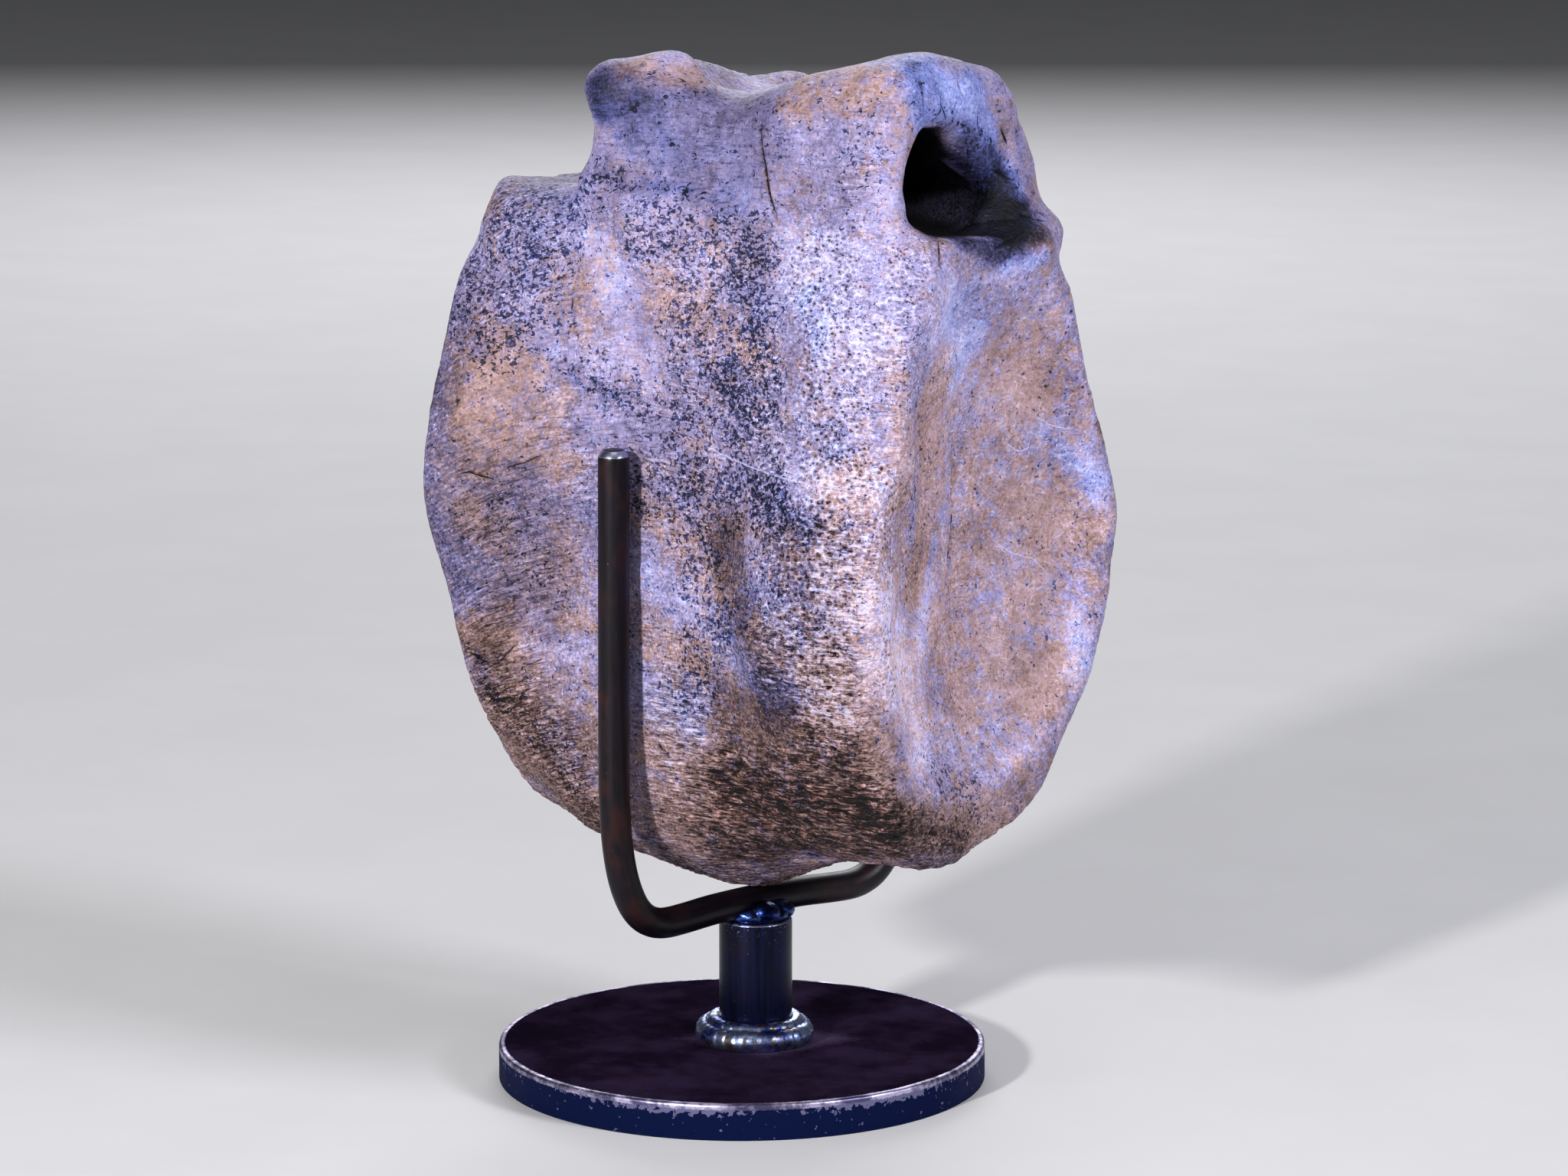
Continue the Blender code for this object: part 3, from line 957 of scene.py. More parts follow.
# What each mark's brush lays on the bone, with its strength
STROKES = {
    Mark.OCHRE: trails(
        (0.6, 5.0, (822, 84), (870, 92), (905, 104)), (0.35, 6.0, (1040, 140), (1110, 130)),
        (0.45, 3.5, (1298, 140), (1312, 176), (1320, 200)),
        (0.8, 3.0, (1356, 296), (1366, 312), (1366, 340)),
        (0.8, 3.0, (1352, 320), (1366, 330), (1370, 350)), (1.0, 4.0, (630, 478), (668, 500)),
        (0.6, 6.0, (665, 455), (705, 490), (730, 520)), (0.55, 4.5, (732, 350), (762, 372)),
        (0.45, 6.0, (720, 410), (760, 430)), (0.5, 8.0, (870, 390), (930, 420), (980, 440)),
        (0.75, 4.0, (962, 452), (996, 468)), (0.55, 8.0, (620, 540), (680, 560), (740, 600)),
        (0.38, 16.0, (650, 890), (720, 960), (800, 1030), (900, 1070)),
        (0.22, 20.0, (640, 600), (680, 740), (720, 900)), (0.2, 15.0, (640, 660), (700, 740), (700, 820)),
        (0.45, 5.0, (610, 670), (645, 695)), (0.8, 3.5, (735, 808), (770, 816)),
        (0.45, 6.0, (745, 690), (755, 750)), (0.75, 8.0, (660, 940), (730, 1030), (770, 1075)),
        (0.6, 6.0, (845, 670), (880, 700), (910, 735)), (0.75, 6.0, (845, 830), (880, 850), (912, 868)),
        (0.75, 9.0, (870, 980), (900, 1040), (900, 1090)),
        (0.7, 8.0, (1060, 880), (1100, 930), (1130, 980)),
        (0.55, 5.0, (1170, 480), (1180, 560), (1178, 640)),
        (0.95, 6.0, (1216, 510), (1212, 600), (1206, 680)),
        (1.0, 5.0, (1204, 680), (1200, 730), (1192, 772)),
        (0.65, 9.0, (1100, 640), (1120, 720), (1110, 820), (1130, 900)),
        (0.85, 5.0, (1330, 490), (1355, 530)), (0.9, 5.0, (1345, 660), (1400, 680), (1425, 700)),
        (0.9, 5.0, (1225, 830), (1245, 890), (1262, 930)),
        (0.75, 6.0, (1310, 850), (1350, 900), (1390, 880)),
        (0.4, 6.0, (1270, 1080), (1330, 1040), (1370, 1000)),
        (0.6, 9.0, (1160, 1060), (1220, 1080), (1290, 1080)),
    ),
    Mark.PINK: trails(
        (0.7, 8.0, (1050, 120), (1120, 108), (1160, 100)), (0.3, 7.0, (770, 320), (800, 360), (770, 390)),
        (0.45, 8.0, (640, 430), (620, 500), (640, 590)), (0.5, 7.0, (1186, 600), (1176, 690), (1172, 760)),
        (0.7, 10.0, (1165, 780), (1180, 880), (1200, 970)),
        (0.7, 7.0, (1232, 480), (1238, 640), (1230, 860)),
        (0.9, 15.0, (1330, 470), (1350, 560), (1370, 700), (1350, 860)),
        (0.8, 12.0, (1280, 640), (1270, 760), (1280, 920)),
        (0.45, 8.0, (1215, 960), (1270, 1000), (1330, 970)),
    ),
    Mark.PALE: trails(
        (0.4, 7.0, (1110, 170), (1140, 220), (1150, 270)), (0.3, 4.0, (1225, 100), (1246, 146)),
        (0.7, 5.5, (775, 318), (800, 350), (790, 378)), (0.6, 5.0, (785, 470), (815, 468), (845, 490)),
        (0.45, 6.0, (930, 340), (900, 370)), (0.45, 4.0, (675, 845), (730, 848), (772, 852)),
        (0.15, 6.0, (610, 820), (650, 850)), (0.9, 1.9, (612, 876), (620, 902), (630, 920)),
        (0.35, 4.0, (850, 755), (872, 780), (895, 795)), (0.35, 6.0, (850, 900), (900, 930)),
        (0.6, 9.0, (1060, 370), (1085, 420), (1110, 470)),
        (0.55, 9.0, (1040, 330), (1140, 350), (1150, 430)), (0.5, 7.0, (1110, 560), (1120, 620)),
        (0.6, 5.0, (1040, 612), (1090, 632), (1150, 650)), (0.25, 8.0, (1090, 720), (1100, 800)),
        # Painted light on the fold beside the dish's near rim
        (0.45, 7.0, (1186, 430), (1186, 520), (1180, 600)),
        (1.0, 9.5, (1160, 780), (1174, 860), (1194, 960)),
        (0.7, 4.0, (1208, 766), (1214, 800), (1204, 840)), (0.4, 8.0, (1225, 380), (1235, 460)),
        (0.6, 4.5, (1140, 770), (1150, 810), (1150, 860)),
        (0.95, 2.8, (1214, 768), (1206, 800), (1198, 845)),
        (0.85, 6.0, (1150, 870), (1180, 940), (1200, 980)),
        (0.25, 9.0, (1225, 400), (1262, 440), (1262, 480)),
        # The next stroke, and the first on the line after it, are painted highlights on the dish's right
        # rim
        (0.45, 4.5, (1408, 815), (1420, 850), (1405, 880)),
        (0.5, 4.0, (1425, 590), (1440, 650), (1445, 690)), (0.4, 6.0, (1230, 960), (1300, 980)),
    ),
    Mark.SKY: trails(
        (0.35, 8.0, (790, 125), (825, 130), (850, 148)), (0.45, 6.0, (795, 165), (830, 190), (860, 205)),
        (0.3, 6.0, (890, 190), (930, 205), (960, 215)), (0.45, 5.0, (850, 246), (930, 256), (975, 262)),
        # Painted highlights on the roof's worn end
        (0.85, 8.0, (1205, 84), (1235, 120), (1275, 130)), (0.7, 4.0, (1200, 110), (1206, 160)),
        (0.75, 4.0, (1270, 100), (1284, 140), (1290, 176)),
        (0.6, 5.0, (1284, 190), (1300, 230), (1330, 262)),
        # Painted highlight along the crest of the canal's ledge
        (0.6, 2.5, (1285, 298), (1312, 297), (1345, 293)),
        (0.8, 3.0, (1318, 350), (1345, 346), (1366, 340)),
        (0.8, 3.0, (1288, 236), (1304, 262), (1322, 280)), (0.3, 9.0, (690, 260), (740, 280), (700, 330)),
        (0.3, 7.0, (775, 330), (800, 366)), (0.15, 5.0, (855, 760), (890, 790)),
        (0.5, 6.0, (1060, 400), (1075, 450)), (0.35, 6.0, (1240, 400), (1262, 440), (1250, 480)),
        (0.45, 7.0, (1245, 380), (1270, 420), (1255, 470)),
        # Painted highlights on the dish's right rim
        (0.55, 4.5, (1370, 560), (1400, 600), (1430, 640)),
        (0.5, 4.5, (1408, 815), (1420, 850), (1405, 880)),
        (0.12, 8.0, (1215, 980), (1270, 1010), (1330, 980)),
    ),
    Mark.NAVY: trails(
        (0.55, 2.2, (811, 146), (870, 132), (927, 120)), (0.7, 2.2, (753, 228), (830, 238), (901, 247)),
        (0.7, 3.0, (1196, 80), (1204, 120), (1204, 150)),
        # The strokes from here to (1346, 284) are painted shade in the canal's mouth and on its far wall
        (0.9, 3.0, (1222, 150), (1256, 168), (1276, 180)),
        (0.95, 6.0, (1268, 200), (1290, 236), (1310, 268)),
        (0.6, 3.0, (1320, 240), (1330, 266), (1346, 284)), (1.0, 2.6, (742, 488), (780, 505), (822, 530)),
        (0.5, 3.0, (632, 884), (648, 910)), (0.5, 5.0, (985, 330), (975, 380), (990, 430)),
        (0.5, 6.0, (950, 500), (985, 530), (960, 570)), (0.65, 5.5, (965, 630), (1010, 650), (1050, 690)),
        (0.45, 5.0, (1085, 560), (1100, 590)), (0.6, 5.0, (1060, 690), (1100, 700)),
        (0.65, 7.0, (950, 720), (985, 760), (960, 810)), (0.65, 6.0, (1010, 770), (1040, 750)),
        (0.35, 7.0, (960, 860), (1000, 900), (1040, 920)), (0.45, 5.0, (1005, 470), (1020, 520)),
    ),
    Mark.GREY: trails(
        (0.75, 9.0, (786, 125), (820, 130), (850, 148)), (0.6, 9.0, (795, 95), (850, 120), (900, 140)),
        (0.6, 6.0, (905, 125), (960, 130), (990, 140)), (0.8, 9.0, (850, 165), (930, 165), (985, 175)),
        (0.6, 8.0, (860, 196), (910, 205), (970, 215)), (0.4, 13.0, (860, 150), (1000, 150), (1090, 190)),
        (0.6, 7.0, (800, 232), (880, 240), (970, 256)), (0.45, 9.0, (1205, 90), (1250, 120), (1285, 150)),
        (0.55, 7.0, (1304, 130), (1325, 190), (1340, 240)),
        # Painted shade on the canal's far wall
        (0.6, 8.0, (1270, 210), (1300, 250), (1330, 275)),
        (0.95, 5.0, (1325, 318), (1350, 316), (1366, 326)), (0.55, 6.0, (590, 425), (625, 436)),
        (0.45, 3.5, (757, 562), (830, 560), (895, 572)),
        # Painted shade over the left third of the near side and along the left rim
        (0.42, 24.0, (590, 500), (600, 640), (640, 820), (700, 960)),
        (0.85, 7.0, (585, 450), (570, 540), (572, 640), (595, 740)),
        (0.95, 14.0, (650, 640), (710, 690), (690, 790)), (0.6, 11.0, (650, 880), (720, 950), (760, 1040)),
        (0.5, 6.0, (1120, 1000), (1160, 1040)), (0.35, 5.0, (1190, 360), (1200, 430)),
        (0.7, 7.0, (1270, 1080), (1330, 1040), (1370, 1000)),
        (0.85, 9.0, (1150, 1060), (1200, 1090), (1250, 1105)),
        (0.22, 14.0, (1400, 540), (1410, 700), (1390, 860)), (0.5, 8.0, (1140, 960), (1160, 1030)),
    ),
    Mark.BROWN: trails(
        (0.35, 5.0, (800, 105), (815, 120), (850, 132)), (0.3, 12.0, (660, 930), (710, 1000), (760, 1060)),
        (0.4, 7.0, (880, 1060), (930, 1090)), (0.55, 8.0, (950, 700), (960, 780), (1000, 860)),
        (0.35, 8.0, (1020, 700), (1040, 800)), (0.8, 9.0, (960, 930), (1030, 960), (1100, 990)),
        (1.0, 13.0, (960, 1040), (1040, 1060), (1110, 1070)),
        (1.0, 9.0, (950, 1105), (1040, 1098), (1130, 1098)),
        (0.45, 8.0, (1160, 1085), (1210, 1105), (1245, 1100)),
    ),
    Mark.RUST: trails(
        (0.7, 5.0, (604, 825), (630, 840), (655, 846)), (0.45, 6.0, (640, 940), (680, 1000)),
        (0.75, 10.0, (960, 1020), (1030, 1050), (1100, 1060)),
        (0.7, 5.0, (948, 960), (990, 980), (1050, 1010)),
        (0.45, 4.0, (1200, 700), (1194, 740), (1188, 770)),
        (0.45, 4.0, (1290, 640), (1330, 660), (1350, 690)),
    ),
    # Painted shade in the canal's mouth and on its ledge, at the knob's edge, along the left rim and under
    # the bone
    Mark.PAINTED_SHADE: trails(
        (0.55, 5.0, (777, 112), (782, 140)), (0.14, 8.0, (786, 112), (800, 140), (830, 150)),
        (0.7, 2.0, (1296, 196), (1304, 222), (1300, 240)),
        (0.95, 4.0, (1228, 300), (1250, 312), (1276, 322), (1306, 332)),
        (0.85, 5.0, (1244, 298), (1286, 302), (1325, 300)),
        (0.55, 4.0, (1310, 330), (1340, 312), (1358, 302)),
        (0.45, 5.0, (1290, 250), (1315, 268), (1335, 280)),
        (0.4, 3.0, (1300, 338), (1330, 330), (1352, 316)),
        (0.3, 5.0, (1262, 196), (1282, 226), (1310, 256)),
        (0.85, 3.5, (1262, 313), (1285, 315), (1310, 318)),
        (0.06, 9.0, (582, 470), (572, 560), (574, 660), (598, 750)), (0.4, 1.8, (630, 864), (646, 866)),
        (0.2, 6.0, (990, 900), (1030, 920), (1010, 950)),
        (0.14, 7.0, (960, 990), (1010, 1020), (1080, 1060)),
        (0.12, 8.0, (950, 1110), (1040, 1100), (1130, 1105)),
        (0.16, 8.0, (1150, 1070), (1200, 1100), (1250, 1105)),
    ),
    Mark.FLECKS: trails(
        (0.45, 8.0, (1190, 460), (1200, 600), (1190, 740)),
        (0.5, 8.0, (1160, 1070), (1210, 1095), (1260, 1095)),
        (0.85, 12.0, (680, 250), (660, 310), (620, 380)), (0.8, 10.0, (760, 260), (700, 370), (640, 440)),
        (0.9, 11.0, (850, 300), (950, 320), (900, 380)), (0.85, 10.0, (900, 440), (960, 500), (900, 540)),
        (0.4, 7.0, (1120, 170), (1140, 230), (1110, 270)), (1.0, 7.0, (845, 640), (880, 650), (930, 640)),
        (0.85, 9.0, (900, 700), (930, 800), (900, 900)), (0.5, 8.0, (620, 360), (660, 420)),
        (0.55, 5.0, (700, 400), (770, 460), (840, 520)), (0.65, 9.0, (860, 560), (920, 600), (960, 660)),
        (0.8, 9.0, (980, 330), (990, 430), (985, 560), (1010, 680)), (0.7, 9.0, (660, 930), (740, 1000)),
        (0.45, 9.0, (650, 680), (720, 740)), (0.6, 7.0, (1215, 1010), (1270, 1040)),
    ),
    Mark.PORES: trails(
        (0.6, 7.0, (1160, 640), (1160, 760), (1168, 900)),
        (1.0, 10.0, (1070, 350), (1090, 500), (1080, 640), (1080, 800)),
        (0.8, 8.0, (1000, 480), (1000, 640), (1010, 800)), (0.75, 9.0, (1060, 860), (1080, 960)),
        (0.45, 7.0, (1190, 340), (1170, 440)),
    ),
    Mark.RIDGES: trails(
        (1.0, 15.0, (960, 1040), (1060, 1050), (1130, 1060)),
        (0.9, 11.0, (1000, 860), (1090, 870), (1080, 960)), (0.5, 10.0, (1060, 720), (1110, 760)),
        (0.6, 8.0, (1160, 1070), (1220, 1090)), (0.35, 13.0, (650, 660), (700, 740), (680, 820)),
        (0.75, 12.0, (670, 920), (760, 1030)), (0.65, 10.0, (880, 920), (900, 1050)),
        (0.3, 8.0, (1186, 420), (1186, 560), (1176, 720)),
    ),
    Mark.SMOOTH: trails(
        (0.9, 12.0, (790, 110), (840, 130), (900, 150)), (0.9, 4.5, (757, 562), (830, 560), (895, 572)),
        (0.45, 14.0, (640, 650), (700, 720), (690, 820)), (0.55, 12.0, (720, 400), (720, 460), (650, 500)),
        (0.8, 8.0, (770, 320), (800, 360), (840, 460)), (0.8, 12.0, (820, 220), (900, 240), (980, 250)),
        (0.9, 12.0, (840, 170), (930, 180), (1000, 200)), (0.6, 9.0, (1040, 120), (1130, 100)),
        (0.7, 9.0, (640, 500), (640, 570), (700, 580)),
        (0.8, 16.0, (1320, 460), (1350, 600), (1340, 760), (1310, 900)),
    ),
}

CRACKS = cuts(
    (1.0, (997, 150), (993, 175), (996, 205), (1004, 255), (1017, 292)),
    (0.7, (1226, 312), (1230, 332), (1229, 352)),
    (1.0, (1247, 585), (1243, 640), (1244, 690), (1237, 740), (1242, 792)),
    (0.4, (594, 620), (612, 617), (650, 628)), (0.3, (655, 614), (682, 606), (712, 592)),
    (0.7, (610, 850), (622, 858), (634, 866)), (0.35, (634, 866), (655, 862), (668, 846), (680, 838)),
    (1.0, (1330, 276), (1352, 284), (1369, 290)), (1.0, (1298, 224), (1312, 232), (1326, 236)),
    (1.0, (1238, 306), (1262, 292), (1300, 287), (1336, 284)),
    (0.5, (1340, 299), (1320, 312), (1298, 326)), (1.0, (1309, 166), (1314, 178), (1317, 190)),
    (0.16, (1200, 96), (1206, 118), (1208, 150)), (0.22, (1238, 160), (1230, 136), (1230, 116)),
    (0.12, (1250, 100), (1254, 116), (1262, 134)), (0.2, (1284, 184), (1278, 160), (1280, 140)),
)

VEINS = cuts(
    (0.25, (905, 572), (940, 592), (985, 612), (1035, 628), (1090, 638), (1150, 645)),
    (0.2, (1223, 360), (1232, 385), (1226, 405), (1213, 424)),
    (0.15, (1166, 790), (1150, 830), (1160, 860)),
    (0.2, (1310, 575), (1330, 590), (1344, 584), (1346, 570)),
    (0.15, (1350, 540), (1372, 556), (1400, 560)),
    (0.15, (1290, 700), (1320, 722), (1350, 730), (1376, 760)),
)


@dataclass
class Vertebra:
    """The fossil bone, carved from its solid, weathered, stained and given painted shade and highlights."""

    view: ViewPoint
    node: str = "vertebra"
    voxel: float = 0.0013
    strokings: int = 14
    wearings: int = 260
    triangles: int = 196000
    # The height of the rod's top where the bone lies on it, in millimetres
    rod_top: float = 50.8
    # How many pixels apart a path's points are, for forms, strokes and lines
    form_spacing: float = 10.0
    stroke_spacing: float = 14.0
    line_spacing: float = 6.0
    # How far the edges of strokes stray, in millimetres
    stray: float = 2.6
    # How far from a line its distance is kept and what stands for it beyond, in millimetres, and the
    # share of its length that each end tapers over
    line_reach: float = 3.5
    line_beyond: float = 9.0
    line_taper: float = 0.22
    # How deep a crack is in the mesh, and about half how wide, in millimetres
    crack_depth: float = 0.9
    crack_spread: float = 0.55
    field: Field = Field()

    def build(self) -> Item:
        """Makes the bone.

        Returns:
            The dressed bone.
        """
        bone = self.rough_out()
        self.sculpt(bone)
        self.stain_and_shade(bone)
        finish_with(bone, "SUBSURF", levels=1, render_levels=1)
        self.weather(bone)
        corners = len(bone.data.loops) - 2 * len(bone.data.polygons)
        finish_with(bone, "DECIMATE", ratio=min(1.0, self.triangles / corners))
        bone.data.shade_smooth()
        bone.data.materials.append(BoneFinish().build())
        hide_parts(self.node)
        return bone

    def rough_out(self) -> Item:
        """Copies the solid and gives it a fine even skin.

        Returns:
            The plain bone.
        """
        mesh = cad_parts[self.node].data.copy()
        mesh.materials.clear()
        bone = bpy.data.objects.new("fossil_bone", mesh)
        bpy.context.scene.collection.objects.link(bone)
        merge_doubles(bone)
        join([bone, *(lump.build() for lump in ADDED)], "fossil_bone")
        reskin(bone, self.voxel, self.strokings)
        for lump in CARVED:
            cutter = lump.build()
            finish_with(bone, "BOOLEAN", operation="DIFFERENCE", solver="EXACT", object=cutter)
            bpy.data.objects.remove(cutter)
        return bone

    def sculpt(self, bone: Item) -> None:
        """Raises and hollows the bone's form along the photograph's ridges and hollows.

        Args:
            bone: The plain bone.
        """
        tree = self.surface(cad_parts[self.node].data)
        points = vertices_of(bone.data)
        group = bone.vertex_groups.new(name="worn")
        worn = np.zeros(len(points))
        for soft in SOFTENED:
            gap, _ = self.gap_to(tree, soft.path, points)
            worn = np.maximum(worn, soft.amount * ease(gap, soft.radius, soft.radius * 0.3))
        for level in range(1, 11):
            group.add(np.flatnonzero(np.round(worn * 10) == level).tolist(), level / 10, "REPLACE")
        finish_with(bone, "SMOOTH", factor=0.5, iterations=self.wearings, vertex_group="worn")
        bone.vertex_groups.clear()
        points, normals = vertices_of(bone.data), normals_of(bone.data)
        moved = points.copy()
        for swell in SWELLS:
            gap, facing = self.gap_to(tree, swell.path, points)
            share = ease(gap, swell.radius * 1.4, 0.0) * ease(normals @ facing, -0.2, 0.4)
            moved += normals * (share * swell.amount)[:, None]
        move_vertices(bone.data, moved)
        reskin(bone, self.voxel, 4)

    def gap_to(self, tree: BVHTree, path: Sequence[Pixel], points: Array) -> tuple[Array, Array]:
        """How far points are from a path of pixels laid on the bone.

        Args:
            tree: The bone's surface.
            path: The pixels.
            points: The points in millimetres.

        Returns:
            The distances, and the direction that the surface faces along the path.
        """
        spots, facing = self.laid(tree, path, self.form_spacing)
        gap = np.full(len(points), FAR)
        for spot in spots:
            gap = np.minimum(gap, np.linalg.norm(points - spot, axis=1))
        return gap, facing.mean(0)

    def surface(self, mesh: bpy.types.Mesh) -> BVHTree:
        """A mesh's surface, for paths to be laid on."""
        corners = [vertex.co.copy() for vertex in mesh.vertices]
        return BVHTree.FromPolygons(corners, [tuple(face.vertices) for face in mesh.polygons])

    def laid(self, tree: BVHTree, path: Sequence[Pixel], spacing: float) -> tuple[Array, Array]:
        """Lays a path of pixels on the bone.

        Args:
            tree: The bone's surface.
            path: The pixels.
            spacing: How many pixels apart its points are.

        Returns:
            Points in millimetres and their normals, one row each.
        """
        dense = [path[0]]
        for (x0, y0), (x1, y1) in zip(path, path[1:]):
            steps = max(1, round(math.hypot(x1 - x0, y1 - y0) / spacing))
            dense += [(x0 + (x1 - x0) * i / steps, y0 + (y1 - y0) * i / steps) for i in range(1, steps + 1)]
        eye = self.view.place()
        points, normals = [], []
        for pixel in dense:
            hit, normal, _, _ = tree.ray_cast(eye, self.view.ray(pixel))
            if hit is None:
                hit, normal, _, _ = tree.find_nearest(eye + self.view.ray(pixel) * self.view.distance)
            points.append(hit / MM)
            normals.append(normal)
        return np.array(points), np.array(normals)

    def stain_and_shade(self, bone: Item) -> None:
        """Lays every mark on the bone, painted shade and highlights among them: the strokes where the
        photograph shows it, their like elsewhere, and the painted shade inside the canal.

        Args:
            bone: The bone.
        """
        mesh = bone.data
        points, normals = vertices_of(mesh), normals_of(mesh)
        ragged = np.stack([self.field.layers(points, 9.0, 3, salt) for salt in (11, 17, 23)], 1)
        warped = points + ragged * self.stray
        tree = self.surface(mesh)
        towards = np.array(self.view.place() / MM) - points
        towards /= np.linalg.norm(towards, axis=1)[:, None]
        unseen = ease(np.einsum("ij,ij->i", towards, normals), 0.25, -0.05)
        marks = {mark: self.likely(mark, points, normals, unseen) for mark in Mark}
        for mark, strokes in STROKES.items():
            for stroke in strokes:
                near, share = self.brushed(tree, stroke, warped, normals)
                marks[mark][near] = 1 - (1 - marks[mark][near]) * (1 - share)
        for mark, values in marks.items():
            store(mesh, mark.value, np.clip(values, 0, 1))
        store(mesh, "shade", self.canal_shade(points, normals))
        for name, lines in (("crack", CRACKS), ("vein", VEINS)):
            side, reach = self.traced(tree, lines, points)
            store(mesh, name + "_side", side)
            store(mesh, name + "_reach", reach)

    def brushed(self, tree: BVHTree, stroke: Trail, points: Array, normals: Array) -> tuple[Array, Array]:
        """Where one stroke lands, and how thickly.

        Args:
            tree: The bone's surface.
            stroke: The stroke.
            points: The vertices, moved a little so that its edge is ragged.
            normals: Their normals.

        Returns:
            The numbers of the vertices that it reaches, and its strength at each.
        """
        spots, facing = self.laid(tree, stroke.path, self.stroke_spacing)
        low, high = spots.min(0) - stroke.radius * 1.6, spots.max(0) + stroke.radius * 1.6
        near = np.flatnonzero(np.all((points > low) & (points < high), axis=1))
        here = points[near]
        gap = np.full(len(near), FAR)
        for spot in spots:
            gap = np.minimum(gap, np.einsum("ij,ij->i", here - spot, here - spot))
        share = ease(np.sqrt(gap), stroke.radius * 1.5, stroke.radius * 0.35) * stroke.amount
        return near, share * ease(normals[near] @ facing.mean(0), -0.1, 0.35)

    def likely(self, mark: Mark, points: Array, normals: Array, unseen: Array) -> Array:
        """How strong a mark is where no stroke says, from the kind of surface and from chance.

        Args:
            mark: The mark.
            points: The vertices.
            normals: Their normals.
            unseen: How far each is turned from the photograph's view.

        Returns:
            One value a vertex.
        """
        chance = self.field.layers(points, (30.0, 24.0, 24.0), 4, 100 + 10 * list(Mark).index(mark))
        # The foot of the bone, its two ends and its arch
        low = ease(points[:, 2], 92.0, 62.0)
        end = ease(np.abs(normals[:, 0]), 0.45, 0.8)
        side = 1 - end
        arch = ease(points[:, 2], 224.0, 236.0)
        amount = {
            Mark.OCHRE: 0.85 * ease(chance, 0.05, 0.55),
            Mark.PINK: 0.75 * ease(chance, -0.15, 0.45) * end,
            Mark.PALE: 0.90 * ease(chance, -0.05, 0.50),
            Mark.SKY: 0.30 * ease(chance, 0.20, 0.60),
            Mark.NAVY: 0.45 * ease(chance, 0.18, 0.60) * (0.4 + 0.6 * side),
            Mark.GREY: 0.45 * ease(chance, 0.10, 0.60),
            Mark.BROWN: np.maximum(0.95 * low * side, 0.6 * ease(chance, 0.30, 0.70)),
            Mark.RUST: 0.70 * ease(chance, 0.25, 0.65),
            # Painted shade, more of it near the foot of the bone
            Mark.PAINTED_SHADE: 0.50 * ease(chance, 0.30, 0.70) * low,
            Mark.FLECKS: (0.38 + 0.55 * chance) * (0.35 + 0.65 * side),
            Mark.PORES: (0.25 + 0.50 * chance) * (0.4 + 0.6 * side) * (1 - arch),
            Mark.RIDGES: np.maximum(0.9 * low, 0.55 * ease(chance, 0.0, 0.5) * side),
            Mark.SMOOTH: 0.6 * arch + 0.5 * end,
        }[mark]
        keep = {Mark.FLECKS: 0.20, Mark.RIDGES: 0.55, Mark.SMOOTH: 1.0, Mark.BROWN: 0.4}.get(mark, 0.25)
        return np.clip(amount, 0, 1) * (keep + (1 - keep) * unseen)

    def canal_shade(self, points: Array, normals: Array) -> Array:
        """How dark the painted shade inside the neural canal makes each vertex.

        Args:
            points: The vertices.
            normals: Their normals.

        Returns:
            One value a vertex, from 0 to 1.
        """
        x, y, z = points.T
        # The bore's ellipse is wider towards the far side, and sinks a little along X
        across = (y + 3.0) / np.where(y > -3.0, 25.0, 20.0)
        over = (z - 244.2 + (x - 6.7) * 0.05) / 16.5
        from_middle = np.sqrt(across**2 + over**2) + 1e-6
        inward = -(normals[:, 1] * across + normals[:, 2] * over) / from_middle
        bore = ease(from_middle, 1.25, 1.10) * ease(inward, -0.1, 0.4)
        # The far wall catches the light from its mouth down to a slanting edge
        far = ease(y, 0.0, 8.0) * (x > 0)
        limit = np.where(x > 0, 60.0, 31.0) + far * (1.0 - 1.1 * (z - 234.0))
        limit += 2.2 * self.field.noise(points, 5.0, 120) + 7.0 * ease(normals[:, 2], 0.2, 0.6) * (x > 0)
        return bore * ease(np.abs(x - 4.0) - limit, 2.0, -1.5) * (1 - 0.10 * far * ease(x, 40.0, 58.0))

    def traced(self, tree: BVHTree, lines: Sequence[Line], points: Array) -> tuple[Array, Array]:
        """The signed distance from each vertex to the nearest line, and how open the line is there.

        Args:
            tree: The bone's surface.
            lines: The cracks or veins.
            points: The vertices.

        Returns:
            The distance in millimetres, and the openness from 0 to 1.
        """
        side = np.full(len(points), self.line_beyond)
        reach = np.zeros(len(points))
        for line in lines:
            spots, facing = self.laid(tree, line.path, self.line_spacing)
            low, high = spots.min(0) - self.line_reach, spots.max(0) + self.line_reach
            near = np.flatnonzero(np.all((points > low) & (points < high), axis=1))
            number, along, gap = nearest_runs(points[near], spots)
            far = np.linalg.norm(gap, axis=1)
            across = np.cross(facing[number], np.diff(spots, axis=0)[number])
            signed = np.sign(np.einsum("ij,ij->i", gap, across)) * far
            share = (number + along) / (len(spots) - 1)
            taper = np.minimum(1.0, np.minimum(share, 1 - share) / self.line_taper)
            wins = far < np.minimum(np.abs(side[near]), self.line_reach)
            side[near[wins]] = signed[wins]
            reach[near[wins]] = (taper * ease(far, 3.4, 1.4))[wins] * line.strength**0.5
        return side, reach

